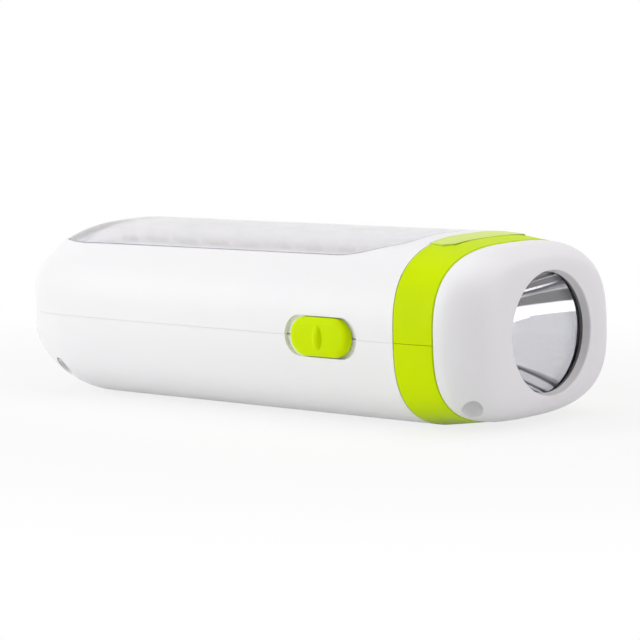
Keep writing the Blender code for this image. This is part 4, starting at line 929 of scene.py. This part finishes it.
# Camera, floor and lamps. The camera has the photograph's angle and distance. The floor is white
# card that fades into the backdrop, and five soft boxes and a pale studio light the torch.
camera_azimuth, camera_elevation, camera_roll = radians(42.723), radians(6.621), radians(-1.809)
camera_distance = 0.850
camera_target = Vector((0.00956, 0, 0.02408))
camera_lens, camera_sensor, camera_nearest = 167.76, 36, 0.01
toward = Vector((sin(camera_azimuth) * cos(camera_elevation),
                 -cos(camera_azimuth) * cos(camera_elevation), sin(camera_elevation)))
camera = bpy.data.objects.new("camera", bpy.data.cameras.new("camera"))
camera.data.lens = camera_lens
camera.data.sensor_width = camera_sensor
camera.data.clip_start = camera_nearest
camera.rotation_mode = "QUATERNION"
level = toward.to_track_quat("Z", "Y")
camera.rotation_quaternion = level @ Matrix.Rotation(camera_roll, 4, "Z").to_quaternion()
camera.location = camera_target + camera_distance * toward
bpy.context.scene.collection.objects.link(camera)
bpy.context.scene.camera = camera
bpy.context.scene.view_settings.view_transform = "Standard"


def merged(nodes, links, operation, first, second):
    """Two values made one: the larger of them, or their product."""
    step = nodes.new("ShaderNodeMath")
    step.operation = operation
    links.new(first, step.inputs[0])
    links.new(second, step.inputs[1])
    return step.outputs["Value"]


floor_reach = 30
card_white = 0.9
fade_spread = (5.0, 7.5, 1)
fade_start, fade_end = 0.55, 1.6
white_nearby = 0.8
card = bmesh.new()
bmesh.ops.create_grid(card, x_segments=1, y_segments=1, size=floor_reach)
floor = solid(card, "floor")
white_card, nodes, links, surface = new_material("white_card")
surface.inputs["Base Color"].default_value = (card_white, card_white, card_white, 1)
surface.inputs["Roughness"].default_value = 1
surface.inputs["Specular IOR Level"].default_value = 0

# Seen directly, the card is plain white, apart from a share near the torch that keeps its shadow.
spread = nodes.new("ShaderNodeMapping")
spread.inputs["Scale"].default_value = fade_spread
links.new(nodes.new("ShaderNodeTexCoord").outputs["Object"], spread.inputs["Vector"])
reach = nodes.new("ShaderNodeVectorMath")
reach.operation = "LENGTH"
links.new(spread.outputs["Vector"], reach.inputs[0])
fade = ranged(nodes, links, reach.outputs["Value"], white_nearby, 1, fade_start, fade_end,
              "SMOOTHSTEP")
seen = nodes.new("ShaderNodeLightPath").outputs
direct = merged(nodes, links, "MAXIMUM", seen["Is Camera Ray"], seen["Is Glossy Ray"])
plain_white = nodes.new("ShaderNodeEmission")
blend = nodes.new("ShaderNodeMixShader")
links.new(merged(nodes, links, "MULTIPLY", direct, fade), blend.inputs["Fac"])
links.new(surface.outputs["BSDF"], blend.inputs[1])
links.new(plain_white.outputs["Emission"], blend.inputs[2])
links.new(blend.outputs["Shader"], nodes["Material Output"].inputs["Surface"])
floor.data.materials.append(white_card)

studio_light, studio_white = 0.21, 1.0
flag_toward = Vector((0.56, -0.55, 0.62)).normalized()
flag_edge, flag_full = 0.905, 0.945
flag_light = 0.22
studio = bpy.data.worlds.new("studio")
bpy.context.scene.world = studio
studio.use_nodes = True
nodes, links = studio.node_tree.nodes, studio.node_tree.links
sky = nodes["Background"]
sky.inputs["Color"].default_value = (1, 1, 1, 1)
seen = nodes.new("ShaderNodeLightPath").outputs
direct = merged(nodes, links, "MAXIMUM", seen["Is Camera Ray"], seen["Is Transmission Ray"])
direct = merged(nodes, links, "MAXIMUM", direct, seen["Is Glossy Ray"])
backdrop = ranged(nodes, links, direct, studio_light, studio_white)

# A dark flag hangs in front and above, where the bowl mirrors it.
nearness = nodes.new("ShaderNodeVectorMath")
nearness.operation = "DOT_PRODUCT"
nearness.inputs[1].default_value = flag_toward
links.new(nodes.new("ShaderNodeTexCoord").outputs["Generated"], nearness.inputs[0])
flag = ranged(nodes, links, nearness.outputs["Value"], 1, flag_light, flag_edge, flag_full,
              "SMOOTHSTEP")
links.new(merged(nodes, links, "MULTIPLY", backdrop, flag), sky.inputs["Strength"])

aim = Vector((0, 0, 0.025))
plain, faint_pink = (1, 1, 1), (1.0, 0.93, 1.0)
for name, place, width, height, power, tone in (
        ("left_box", (-0.65, -0.85, 0.20), 0.6, 0.5, 4.2, plain),
        ("left_high_box", (-0.45, -0.75, 0.75), 0.7, 0.6, 3.1, plain),
        ("top_box", (0, 0.1, 0.9), 1.0, 0.8, 3.6, plain),
        ("right_box", (1.0, 0.1, 0.25), 0.5, 0.6, 1.65, faint_pink),
        ("right_high_box", (0.75, 0, 0.75), 0.6, 0.6, 1.5, faint_pink)):
    lamp = bpy.data.lights.new(name, "AREA")
    lamp.shape = "RECTANGLE"
    lamp.size, lamp.size_y = width, height
    lamp.energy, lamp.color = power, tone
    soft_box = bpy.data.objects.new(name, lamp)
    soft_box.location = place
    soft_box.rotation_euler = (Vector(place) - aim).to_track_quat("Z", "Y").to_euler()
    soft_box.visible_camera = False
    bpy.context.scene.collection.objects.link(soft_box)
